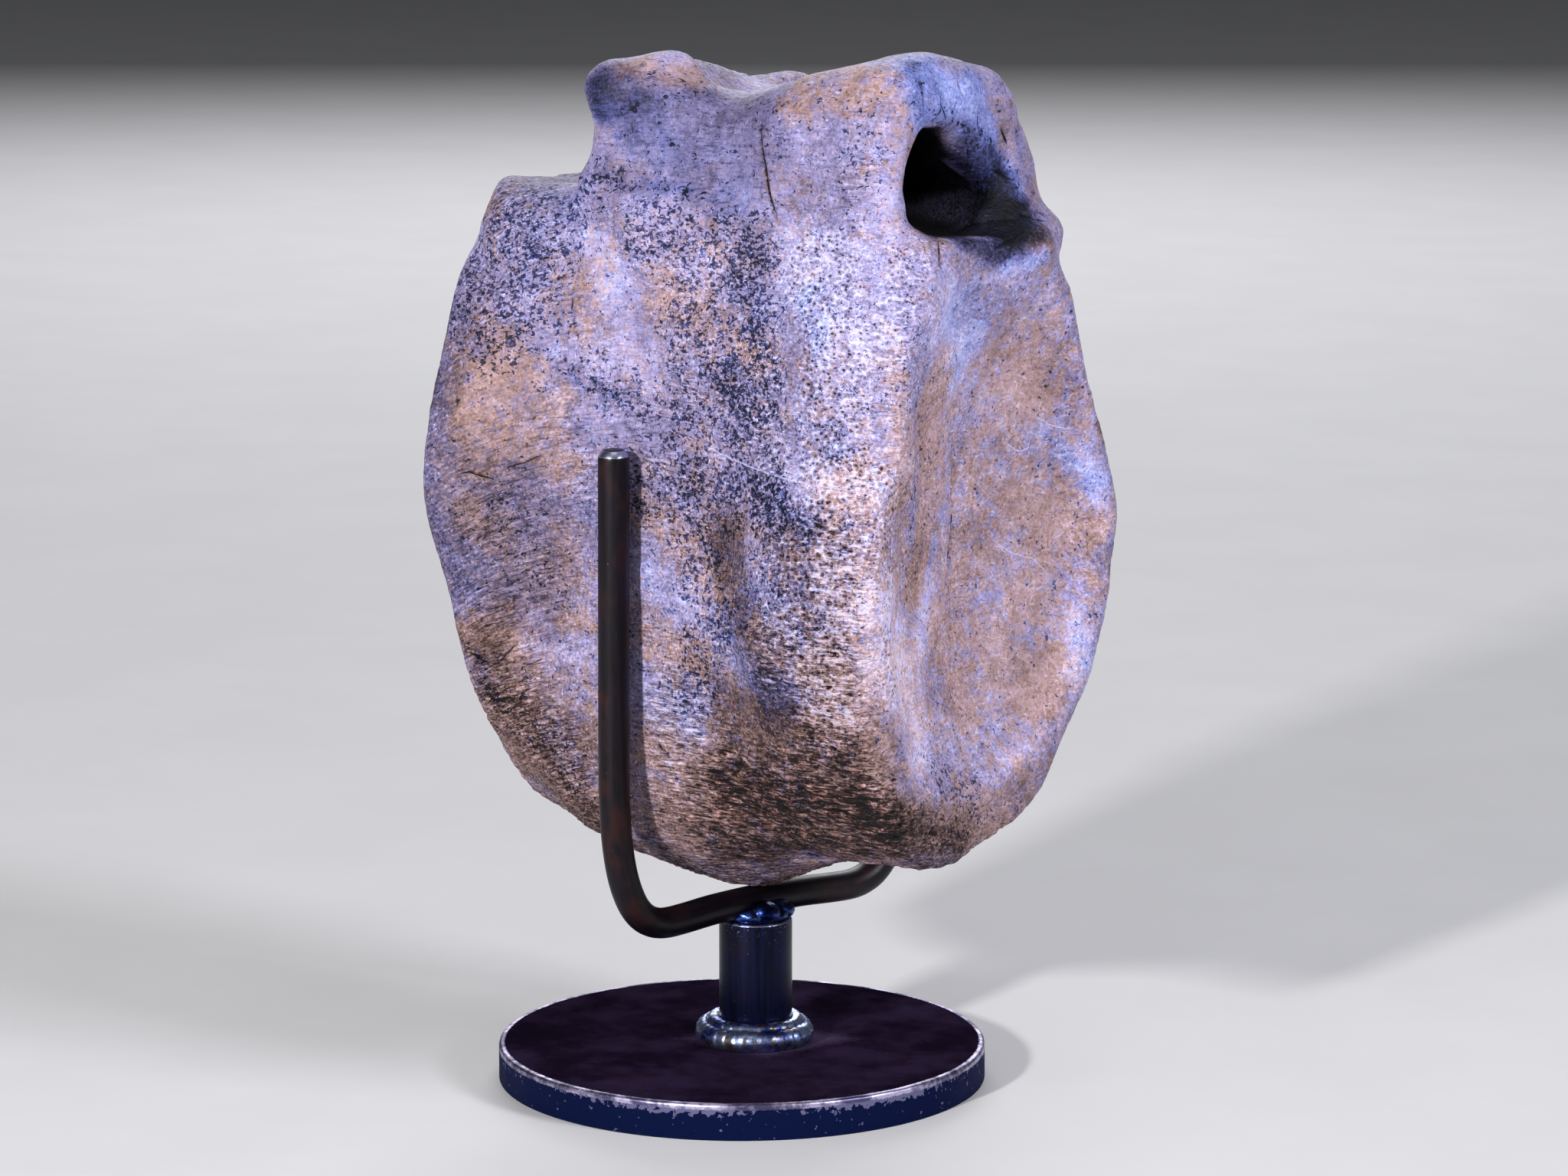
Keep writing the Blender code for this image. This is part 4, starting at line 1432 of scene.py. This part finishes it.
    def weather(self, bone: Item) -> None:
        """Roughens the bone: grain, pits, ridges, cracks and the seat on the rod.

        Args:
            bone: The bone.
        """
        mesh = bone.data
        points, normals = vertices_of(mesh), normals_of(mesh)
        marks = {mark: stored(mesh, mark.value) for mark in Mark}
        field = self.field
        bend = np.stack([field.noise(points, 11.0, salt) for salt in (31, 37, 41)], 1) * 1.6
        swirled = points + bend
        canal = self.canal_shade(points, normals)
        calm = 1 - 0.65 * marks[Mark.SMOOTH]
        relief = 0.16 * calm * field.layers(swirled, (9.0, 2.8, 2.2), 3, 60)
        relief += 0.10 * calm * field.noise(points, 1.7, 70)
        pitted = ease(field.pits(points, (3.0, 2.6, 2.4), 80), 0.46, 0.12)
        relief -= 0.70 * marks[Mark.PORES] * pitted
        small = ease(field.pits(points, 1.9, 85), 0.44, 0.14)
        relief -= 0.30 * (0.25 + 0.75 * marks[Mark.PORES]) * calm * small
        ridged = 0.9 - 2.2 * np.abs(field.noise(swirled, (7.5, 3.2, 1.9), 90))
        ridged += 0.6 * field.noise(swirled, (4.0, 1.9, 1.3), 95)
        relief += 0.62 * marks[Mark.RIDGES] * ridged
        side, reach = stored(mesh, "crack_side"), stored(mesh, "crack_reach")
        relief -= self.crack_depth * reach * np.exp(-((side / self.crack_spread) ** 2))
        store(mesh, "relief", relief * (1 - canal))
        relief += 0.45 * field.layers(points, 15.0, 3, 50)
        moved = points + normals * relief[:, None]
        move_vertices(mesh, self.seated(moved))

    def seated(self, points: Array) -> Array:
        """Lets the lowest part of the underside down on the rod, which carries it.

        Args:
            points: The vertices.

        Returns:
            The vertices where they rest.
        """
        away = np.hypot(points[:, 0] - POST_MIDDLE.x / MM, points[:, 1] - POST_MIDDLE.y / MM)
        near = ease(away, 16.0, 5.0) * ease(points[:, 2], 58.0, 52.5)
        lowest = points[near > 0.9, 2].min()
        points[:, 2] -= near * max(0.0, lowest - self.rod_top)
        under = (points[:, 2] < self.rod_top) & (points[:, 2] > self.rod_top - 8.0)
        points[under, 2] = self.rod_top
        return points


@dataclass(frozen=True)
class FootFinish:
    """Mill scale: purple-brown on the top, navy on the side, with a bright ground edge and chips."""

    radius: float
    top: float
    # The halo's heading, and its half length and width
    heading: float = 35.0
    reach: tuple[float, float] = (0.027, 0.0205)
    plate: Colour = srgb(19, 12, 26)
    plate_worn: Colour = srgb(38, 28, 49)
    side: Colour = srgb(12, 20, 54)
    bare: Colour = srgb(118, 116, 152)
    bright: Colour = srgb(196, 188, 220)
    dulled: Colour = srgb(84, 80, 112)
    halo: Colour = srgb(70, 58, 84)

    def build(self) -> bpy.types.Material:
        """Makes the material.

        Returns:
            The material.
        """
        sheet = NodeSheet("mill_scale_foot")
        x, y, z = sheet.parts(sheet.place)
        from_middle = sheet.math("SQRT", sheet.plus((x, x), (y, y)))
        to_rim = sheet.math("SUBTRACT", self.radius, from_middle)
        corner = sheet.plus(to_rim, sheet.math("SUBTRACT", self.top, z))
        on_side = sheet.step(to_rim, 0.0007, 0.0004)
        cloud = sheet.noise(16.0, 5.0, 0.6)
        fine = sheet.noise(0.9, 4.0, 0.6)
        flake = sheet.noise(1.5, 3.0, 0.55)
        plate = sheet.mix(sheet.step(cloud, 0.35, 0.7), self.plate, self.plate_worn)
        plate = sheet.mix(sheet.times(self.halo_round_weld(sheet, x, y, fine), 0.75), plate, self.halo)
        colour = sheet.mix(on_side, plate, self.side)
        sector = sheet.step(sheet.noise(24.0, 2.0), 0.42, 0.62)
        close = sheet.step(corner, 0.0046, 0.0012)
        chance = sheet.plus(flake, (close, sheet.plus(0.08, (sector, 0.24))))
        chipped = sheet.times(sheet.step(chance, 0.67, 0.70), on_side)
        colour = sheet.mix(sheet.times(chipped, 0.6), colour, self.bare)
        specks = sheet.step(sheet.noise(1.1, 2.0), 0.74, 0.78)
        colour = sheet.mix(sheet.times(specks, 0.22), colour, self.bare)
        ground = sheet.step(sheet.plus(corner, (sheet.plus(fine, -0.5), 0.0010)), 0.0017, 0.0013)
        scuffed = sheet.mix(sheet.step(sheet.noise(9.0, 4.0, 0.65), 0.42, 0.60), self.dulled, self.bright)
        colour = sheet.mix(ground, colour, scuffed)
        metal = sheet.plus((ground, 0.8), (on_side, 0.20))
        rough = sheet.plus(0.52, (sheet.plus(cloud, -0.5), 0.35), (on_side, -0.10))
        height = sheet.plus((fine, 0.4), (cloud, 0.5), (chipped, -0.9))
        return sheet.dress(
            Base_Color=colour,
            Metallic=sheet.math("MINIMUM", metal, 1.0),
            Roughness=rough,
            Specular_IOR_Level=0.0,
            Normal=sheet.bump(height, 0.10, 0.6),
        )

    def halo_round_weld(self, sheet: NodeSheet, x: Socket, y: Socket, fine: Socket) -> Socket:
        """The dusty, heat-paled patch round the weld, drawn out to one side.

        Args:
            sheet: The material.
            x: The X coordinate.
            y: The Y coordinate.
            fine: Fine noise.

        Returns:
            How much of it shows.
        """
        turn = math.radians(self.heading)
        dx, dy = sheet.plus(x, -POST_MIDDLE.x), sheet.plus(y, -POST_MIDDLE.y)
        along = sheet.plus((dx, math.cos(turn)), (dy, math.sin(turn)))
        across = sheet.plus((dy, math.cos(turn)), (dx, -math.sin(turn)))
        ahead = sheet.times(sheet.math("ABSOLUTE", sheet.plus(along, -0.003)), 1 / self.reach[0])
        beside = sheet.times(sheet.math("ABSOLUTE", across), 1 / self.reach[1])
        return sheet.step(sheet.plus(ahead, beside, (sheet.plus(fine, -0.5), 0.5)), 1.05, 0.55)


@dataclass(frozen=True)
class SteelFinish:
    """Round bar as rolled: dark, satin, with streaks along it."""

    name: str
    dark: Colour
    light: Colour
    tint: Colour
    streak: tuple[float, float, float]
    place: str = ""
    metallic: float = 0.75
    rough: float = 0.34
    bare: Colour = srgb(176, 178, 206)
    nick: Colour = srgb(128, 122, 140)

    def build(self) -> bpy.types.Material:
        """Makes the material.

        Returns:
            The material.
        """
        sheet = NodeSheet(self.name)
        if self.place:
            sheet.place = sheet.add("Attribute", attribute_name=self.place).outputs["Vector"]
        streak = sheet.noise(self.streak, 5.0, 0.6)
        cloud = sheet.noise((7.0, 7.0, 11.0), 4.0, 0.6)
        fine = sheet.noise(0.7, 3.0, 0.6)
        colour = sheet.mix(sheet.step(streak, 0.34, 0.70), self.dark, self.light)
        colour = sheet.mix(sheet.times(sheet.step(cloud, 0.48, 0.70), 0.7), colour, self.tint)
        worn = sheet.step(sheet.plus(sheet.reads("bare"), (sheet.plus(fine, -0.5), 0.8)), 0.35, 0.65)
        colour = sheet.mix(worn, colour, self.bare)
        nicks = sheet.step(sheet.noise((0.8, 0.8, 1.6), 2.0), 0.74, 0.78)
        colour = sheet.mix(sheet.times(nicks, 0.4), colour, self.nick)
        rough = sheet.plus(self.rough, (sheet.plus(cloud, -0.5), 0.3), (worn, -0.08))
        height = sheet.plus((streak, 0.6), (fine, 0.5), (nicks, -0.5))
        return sheet.dress(
            Base_Color=colour,
            Metallic=sheet.math("MAXIMUM", worn, self.metallic),
            Roughness=rough,
            Specular_IOR_Level=0.22,
            Normal=sheet.bump(height, 0.07, 0.6),
        )


@dataclass(frozen=True)
class WeldFinish:
    """Bright weld metal, with the blues and straw of its heat."""

    name: str
    steel: Colour = srgb(184, 204, 255)
    blue: Colour = srgb(58, 84, 180)
    straw: Colour = srgb(176, 148, 92)
    soot: Colour = srgb(40, 36, 48)

    def build(self) -> bpy.types.Material:
        """Makes the material.

        Returns:
            The material.
        """
        sheet = NodeSheet(self.name)
        broad = sheet.noise(6.0, 3.0, 0.55)
        middle = sheet.noise(3.0, 3.0, 0.55, 0.6)
        fine = sheet.noise(0.6, 3.0, 0.6)
        colour = sheet.mix(sheet.step(broad, 0.34, 0.54), self.blue, self.steel)
        colour = sheet.mix(sheet.times(sheet.step(middle, 0.56, 0.64), 0.8), colour, self.straw)
        sunk = sheet.step(sheet.plus(sheet.reads("sunk"), (sheet.plus(fine, -0.5), 0.5)), 0.35, 0.8)
        colour = sheet.mix(sheet.times(sunk, 0.8), colour, self.soot)
        rough = sheet.plus(0.24, (sunk, 0.25), (sheet.plus(fine, -0.4), 0.15))
        return sheet.dress(
            Base_Color=colour, Metallic=1.0, Roughness=rough, Normal=sheet.bump(fine, 0.03, 0.3)
        )


def smooth_rows(rows: Sequence[Sequence[float]], pieces: int) -> list[tuple[float, ...]]:
    """Rows of numbers with smooth rows added between them.

    Args:
        rows: The rows.
        pieces: How many steps each gap is parted in.

    Returns:
        The finer rows.
    """
    padded = [rows[0], *rows, rows[-1]]
    made = []
    for i in range(1, len(padded) - 2):
        for step in range(pieces):
            t = step / pieces
            row = []
            for a, b, c, d in zip(*padded[i - 1 : i + 3]):
                curve = (2 * a - 5 * b + 4 * c - d) * t**2 + (3 * b - a - 3 * c + d) * t**3
                row.append(b + 0.5 * ((c - a) * t + curve))
            made.append(tuple(row))
    made.append(tuple(rows[-1]))
    return made


@dataclass
class Foot:
    """The round steel plate that stands on the floor, with its top edge ground bright."""

    sides: int = 320
    ground_edge: float = 0.0009
    floor_edge: float = 0.0004
    field: Field = Field(11)

    def build(self) -> Item:
        """Makes the plate.

        Returns:
            The dressed plate.
        """
        low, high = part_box("base_disc")
        radius, top = (high.y - low.y) / 2, high.z
        bpy.ops.mesh.primitive_cylinder_add(
            vertices=self.sides, radius=radius, depth=top, location=(0.0, 0.0, top / 2)
        )
        foot = bpy.context.object
        foot.name = "foot_plate"
        bpy.ops.object.transform_apply(location=True)
        for height, width in ((top, self.ground_edge), (0.0, self.floor_edge)):
            self.select_loop(foot, height)
            bpy.ops.object.mode_set(mode="EDIT")
            bpy.ops.mesh.bevel(offset=width, segments=5, profile=0.55, affect="EDGES")
            bpy.ops.object.mode_set(mode="OBJECT")
        self.wear(foot, top)
        foot.data.shade_smooth()
        foot.data.set_sharp_from_angle(angle=math.radians(35))
        foot.data.materials.append(FootFinish(radius, top).build())
        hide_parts("base_disc")
        return foot

    def select_loop(self, foot: Item, height: float) -> None:
        """Selects the plate's edge at one height.

        Args:
            foot: The plate.
            height: The height.
        """
        mesh = foot.data
        for group in (mesh.vertices, mesh.polygons, mesh.edges):
            group.foreach_set("select", [False] * len(group))
        for edge in mesh.edges:
            edge.select = all(abs(mesh.vertices[i].co.z - height) < 1e-6 for i in edge.vertices)

    def wear(self, foot: Item, top: float) -> None:
        """Makes the ground edge a little uneven, as a hand grinder leaves it.

        Args:
            foot: The plate.
            top: The height of its top.
        """
        points = vertices_of(foot.data)
        across = np.hypot(points[:, 0], points[:, 1])
        edge = ease(across, across.max() - 2.2, across.max() - 0.8)
        edge *= ease(points[:, 2], top / MM - 2.0, top / MM)
        dents = 0.16 * self.field.layers(points, 7.0, 4, 3)
        inward = np.stack([points[:, 0] / across, points[:, 1] / across, np.ones(len(points))], 1)
        move_vertices(foot.data, points - inward * (edge * np.abs(dents))[:, None])


@dataclass
class Post:
    """The upright bar between the plate and the rod."""

    sides: int = 96
    edge: float = 0.0006

    def build(self) -> Item:
        """Makes the post.

        Returns:
            The dressed post.
        """
        top = POST_HIGH.z / MM
        bpy.ops.mesh.primitive_cylinder_add(
            vertices=self.sides,
            radius=(POST_HIGH.y - POST_LOW.y) / 2,
            depth=POST_HIGH.z - POST_LOW.z,
            location=POST_MIDDLE,
        )
        post = bpy.context.object
        post.name = "post_bar"
        bpy.ops.object.transform_apply(location=True)
        finish_with(post, "BEVEL", width=self.edge, segments=4, limit_method="ANGLE")
        store(post.data, "bare", 0.7 * ease(vertices_of(post.data)[:, 2], top - 1.0, top - 0.1))
        post.data.shade_smooth()
        post.data.set_sharp_from_angle(angle=math.radians(35))
        finish = SteelFinish(
            "post_steel", *shades((7, 9, 30), (16, 20, 52), (25, 15, 27)), (1.1, 1.1, 26.0), metallic=0.6
        )
        post.data.materials.append(finish.build())
        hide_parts("post")
        return post


@dataclass
class Weld:
    """A run of weld metal: beads laid over each other, with ripples."""

    field: Field = Field(23)

    def build_base(self) -> Item:
        """Makes the two passes round the foot of the post.

        Returns:
            The dressed weld.
        """
        low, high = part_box("base_weld")
        middle = (low + high) / 2
        tall, post = high.z - low.z, (POST_HIGH.y - POST_LOW.y) / 2
        reach = (high.y - low.y) / 2
        wide = reach - post
        beads = []
        for major, minor, lift, turn in (
            (reach - 0.46 * wide, 0.50 * wide, 0.32 * tall, 0.0),
            (post + 0.22 * wide, 0.36 * wide, 0.66 * tall, 0.6),
        ):
            bpy.ops.mesh.primitive_torus_add(
                major_radius=major, minor_radius=minor, major_segments=260, minor_segments=26
            )
            bead = bpy.context.object
            self.ripple(bead, major / MM, minor / MM, turn)
            bead.location = (middle.x, middle.y, low.z + lift)
            bpy.ops.object.transform_apply(location=True)
            beads.append(bead)
        weld = join(beads, "base_weld_beads")
        self.melt(weld, low.z / MM, voxel=0.00028, strokings=3, rough=0.0)
        weld.data.materials.append(WeldFinish("base_weld_metal").build())
        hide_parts("base_weld")
        return weld

    def ripple(self, bead: Item, major: float, minor: float, turn: float) -> None:
        """Gives a ring the crescents of a weld laid by hand.

        Args:
            bead: The ring, round the origin.
            major: Its radius in millimetres.
            minor: Its bead's radius.
            turn: Where its ripples start.
        """
        points = vertices_of(bead.data)
        angle = np.arctan2(points[:, 1], points[:, 0])
        across = np.hypot(points[:, 0], points[:, 1]) - major
        lift = points[:, 2]
        count = round(math.tau * major / 2.3)
        phase = angle * count / math.tau + turn + 0.22 * (across / minor) ** 2
        phase += 0.35 * self.field.noise(points, 9.0, 5)
        tooth = phase - np.floor(phase)
        swell = 1.0 + 0.10 * (tooth**0.6 - 0.5) + 0.16 * self.field.noise(points, 6.5, 9)
        radius = major + across * swell
        points[:, 0], points[:, 1] = radius * np.cos(angle), radius * np.sin(angle)
        points[:, 2] = lift * swell
        move_vertices(bead.data, points)

    def build_top(self) -> Item:
        """Makes the pool of weld that holds the rod on the post.

        Returns:
            The dressed weld.
        """
        low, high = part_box("top_weld")
        middle = (low + high) / 2
        lumps = (
            ((0.0, 0.0, 1.0), (9.0, 9.0, 3.6)),
            ((4.8, -3.0, 2.2), (4.2, 4.0, 3.0)),
            ((5.0, 3.4, 1.8), (4.0, 4.4, 2.8)),
            ((-5.2, 1.0, 2.0), (3.8, 5.2, 3.0)),
            ((1.2, -6.0, 1.4), (4.6, 3.2, 2.4)),
        )
        start = Vector((middle.x, middle.y, low.z)) / MM
        pool = [Lump(tuple(start + Vector(offset)), half).build(around=48) for offset, half in lumps]
        weld = join(pool, "top_weld_pool")
        self.melt(weld, low.z / MM, voxel=0.00026, strokings=5, rough=0.22)
        # Painted shade: the top weld's colours are a darker copy of the base weld's
        shaded_weld = shades((58, 82, 156), (14, 27, 76), (50, 54, 84), (14, 15, 27))
        weld.data.materials.append(WeldFinish("top_weld_metal", *shaded_weld).build())
        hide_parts("top_weld")
        return weld

    def melt(self, weld: Item, floor: float, voxel: float, strokings: int, rough: float) -> None:
        """Runs a weld's lumps together, ends them flat below and marks patches of it as sunk at random.

        Args:
            weld: The weld.
            floor: The height in millimetres of what it stands on.
            voxel: How fine its skin is, in metres.
            strokings: How often it is smoothed.
            rough: How uneven it is, in millimetres.
        """
        reskin(weld, voxel, strokings)
        points = vertices_of(weld.data)
        points += normals_of(weld.data) * (rough * self.field.layers(points, 3.4, 3, 21))[:, None]
        points[:, 2] = np.maximum(points[:, 2], floor - 0.2)
        move_vertices(weld.data, points)
        store(weld.data, "sunk", 0.5 + 0.5 * self.field.layers(points, 4.0, 3, 31))
        weld.data.shade_smooth()


@dataclass
class CradleRod:
    """The round bar bent to a U that the bone rests in. Sizes are in metres."""

    radius: float = 0.00397
    heading: float = 256.4
    middle_height: float = 0.0469
    tip_height: float = 0.1705
    tip_reach: float = 0.0472
    # How much further out the rear side stands
    rear_extra: float = 0.0045
    # How far out from the post each side runs, and how high
    bend: tuple[tuple[float, float], ...] = (
        (0.0140, 0.0466), (0.0240, 0.0459), (0.0305, 0.0457), (0.0350, 0.0466), (0.0388, 0.0489),
        (0.0420, 0.0530), (0.0447, 0.0595), (0.0464, 0.0675), (0.0473, 0.0770), (0.0476, 0.0900),
        (0.0474, 0.1300),
    )
    # The ground tip: distance below its end, share of the radius
    tip: tuple[tuple[float, float], ...] = (
        (0.0040, 1.0), (0.0024, 1.0), (0.0018, 0.985), (0.0014, 0.95), (0.0005, 0.80), (0.0002, 0.73),
        (0.0, 0.66),
    )

    def side(self, heading: float, extra: float) -> list[tuple[Vector, float]]:
        """One side of the U, from the post out and up to the tip.

        Args:
            heading: Its direction in radians.
            extra: How much further out it stands.

        Returns:
            Points and shares of the radius.
        """
        axis = Vector((POST_MIDDLE.x, POST_MIDDLE.y, 0.0))
        out = Vector((math.cos(heading), math.sin(heading), 0.0))
        rows = smooth_rows(((0.0, self.middle_height), *self.bend), 6)[1:]
        share = 1 + extra / self.bend[-1][0]
        made = [(axis + out * (along * share) + Vector((0, 0, height)), 1.0) for along, height in rows]
        for below, wide in self.tip:
            place = axis + out * (self.tip_reach + extra) + Vector((0, 0, self.tip_height - below))
            made.append((place, wide))
        return made

    def build(self) -> Item:
        """Makes the rod.

        Returns:
            The dressed rod.
        """
        heading = math.radians(self.heading)
        middle = Vector((POST_MIDDLE.x, POST_MIDDLE.y, self.middle_height))
        front = self.side(heading, 0.0)
        rear = self.side(heading + math.pi, self.rear_extra)
        route = front[::-1] + [(middle, 1.0)] + rear
        curve = bpy.data.curves.new("rod_bar", "CURVE")
        curve.dimensions = "3D"
        curve.bevel_depth = self.radius
        curve.bevel_resolution = 14
        curve.use_fill_caps = True
        spline = curve.splines.new("POLY")
        spline.points.add(len(route) - 1)
        for point, (place, wide) in zip(spline.points, route):
            point.co = (*place, 1.0)
            point.radius = wide
        rod = bpy.data.objects.new("rod_bar", curve)
        bpy.context.scene.collection.objects.link(rod)
        select_only(rod)
        bpy.ops.object.convert(target="MESH")
        rod = bpy.context.object
        self.straighten(rod, [place for place, _ in route])
        merge_doubles(rod)
        rod.data.shade_smooth()
        rod.data.set_sharp_from_angle(angle=math.radians(40))
        finish = SteelFinish(
            "rod_steel", *shades((9, 5, 8), (21, 14, 26), (50, 21, 17)), (0.9, 0.9, 16.0),
            place="straight", metallic=0.10, rough=0.40,
        )
        rod.data.materials.append(finish.build())
        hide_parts("cradle_rod")
        return rod

    def straighten(self, rod: Item, route: list[Vector]) -> None:
        """Stores where each vertex would be if the rod were straight, and where its tips are bare.

        Args:
            rod: The rod.
            route: The points of its middle line.
        """
        points = vertices_of(rod.data)
        line = np.array([list(place) for place in route]) / MM
        number, along, gap = nearest_runs(points, line)
        runs = np.diff(line, axis=0)
        lengths = np.linalg.norm(runs, axis=1)
        before = np.cumsum(lengths) - lengths
        heading = math.radians(self.heading)
        level = np.array([-math.sin(heading), math.cos(heading), 0.0])
        third = np.cross(runs / lengths[:, None], level)[number]
        run_out = before[number] + along * lengths[number]
        straight = np.stack([gap @ level, np.einsum("ij,ij->i", gap, third), run_out], 1)
        attribute = rod.data.attributes.new("straight", "FLOAT_VECTOR", "POINT")
        attribute.data.foreach_set("vector", (straight * MM).astype(np.float32).ravel())
        to_tip = self.tip_height / MM - points[:, 2]
        store(rod.data, "bare", ease(to_tip, 2.0, 1.4) * ease(to_tip, -0.1, 0.35))


@dataclass(frozen=True)
class Lamp:
    """A square soft light that faces the object.

    Its turn from the camera's side and its height over the floor are in degrees.
    """

    name: str
    turn: float
    height: float
    away: float
    width: float
    watts: float
    colour: Colour

    def build(self, azimuth: float, target: Vector) -> None:
        """Makes the light.

        Args:
            azimuth: The camera's side, in degrees.
            target: What it faces.
        """
        turn, rise = math.radians(azimuth + self.turn), math.radians(self.height)
        out = Vector((math.sin(turn) * math.cos(rise), -math.cos(turn) * math.cos(rise), math.sin(rise)))
        data = bpy.data.lights.new(self.name, "AREA")
        data.size = self.width
        data.energy = self.watts
        data.color = self.colour
        lamp = bpy.data.objects.new(self.name, data)
        bpy.context.scene.collection.objects.link(lamp)
        lamp.location = target + out * self.away
        lamp.rotation_euler = out.to_track_quat("Z", "Y").to_euler()


@dataclass(frozen=True)
class Studio:
    """A pale floor and soft lights."""

    floor_size: float = 8.0
    floor_colour: Colour = (0.62, 0.62, 0.64)
    sky_colour: Colour = (0.80, 0.82, 0.86)
    sky: float = 0.06
    target: Vector = Vector((0.0, 0.0, 0.14))
    lamps: tuple[Lamp, ...] = (
        Lamp("key", -33, 18, 1.7, 0.11, 31.5, (1.0, 0.985, 0.97)),
        Lamp("side", 57, 26, 1.9, 0.45, 27.5, (0.95, 0.955, 1.0)),
        Lamp("top", 10, 75, 2.2, 1.4, 7.0, (0.97, 0.98, 1.0)),
        Lamp("back", 180, 30, 2.4, 1.4, 30.0, (0.99, 0.99, 1.0)),
    )

    def build(self, view: ViewPoint) -> None:
        """Makes the floor, the lights and the sky.

        Args:
            view: The photograph's viewpoint, which the key light stands beside.
        """
        bpy.ops.mesh.primitive_plane_add(size=self.floor_size)
        floor = bpy.context.object
        floor.name = "floor"
        sheet = NodeSheet("floor_paper")
        grain = sheet.step(sheet.noise(60.0, 3.0), 0.3, 0.7)
        darker = tuple(0.97 * level for level in self.floor_colour)
        paper = sheet.dress(Base_Color=sheet.mix(grain, self.floor_colour, darker), Roughness=0.85)
        floor.data.materials.append(paper)
        for lamp in self.lamps:
            lamp.build(view.azimuth, self.target)
        world = bpy.data.worlds.new("studio")
        world.use_nodes = True
        background = world.node_tree.nodes["Background"]
        background.inputs["Color"].default_value = (*self.sky_colour, 1.0)
        background.inputs["Strength"].default_value = self.sky
        bpy.context.scene.world = world
        bpy.context.scene.view_settings.view_transform = "Standard"


def main() -> None:
    """Builds every piece, in order, and reports each."""
    logging.basicConfig(level=logging.INFO, format="%(name)s: %(message)s")
    view = ViewPoint()
    view.build()
    weld = Weld()
    pieces = (
        (Foot().build(), Slot.STEEL),
        (Post().build(), Slot.STEEL),
        (weld.build_base(), Slot.WELD),
        (weld.build_top(), Slot.WELD),
        (CradleRod().build(), Slot.ROD),
        (Vertebra(view).build(), Slot.BONE),
    )
    for piece, slot in pieces:
        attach(piece, BODY)
        LOG.info("%s has %d faces", piece.name, len(piece.data.polygons))
    Studio().build(view)


if __name__ == "__main__":
    main()
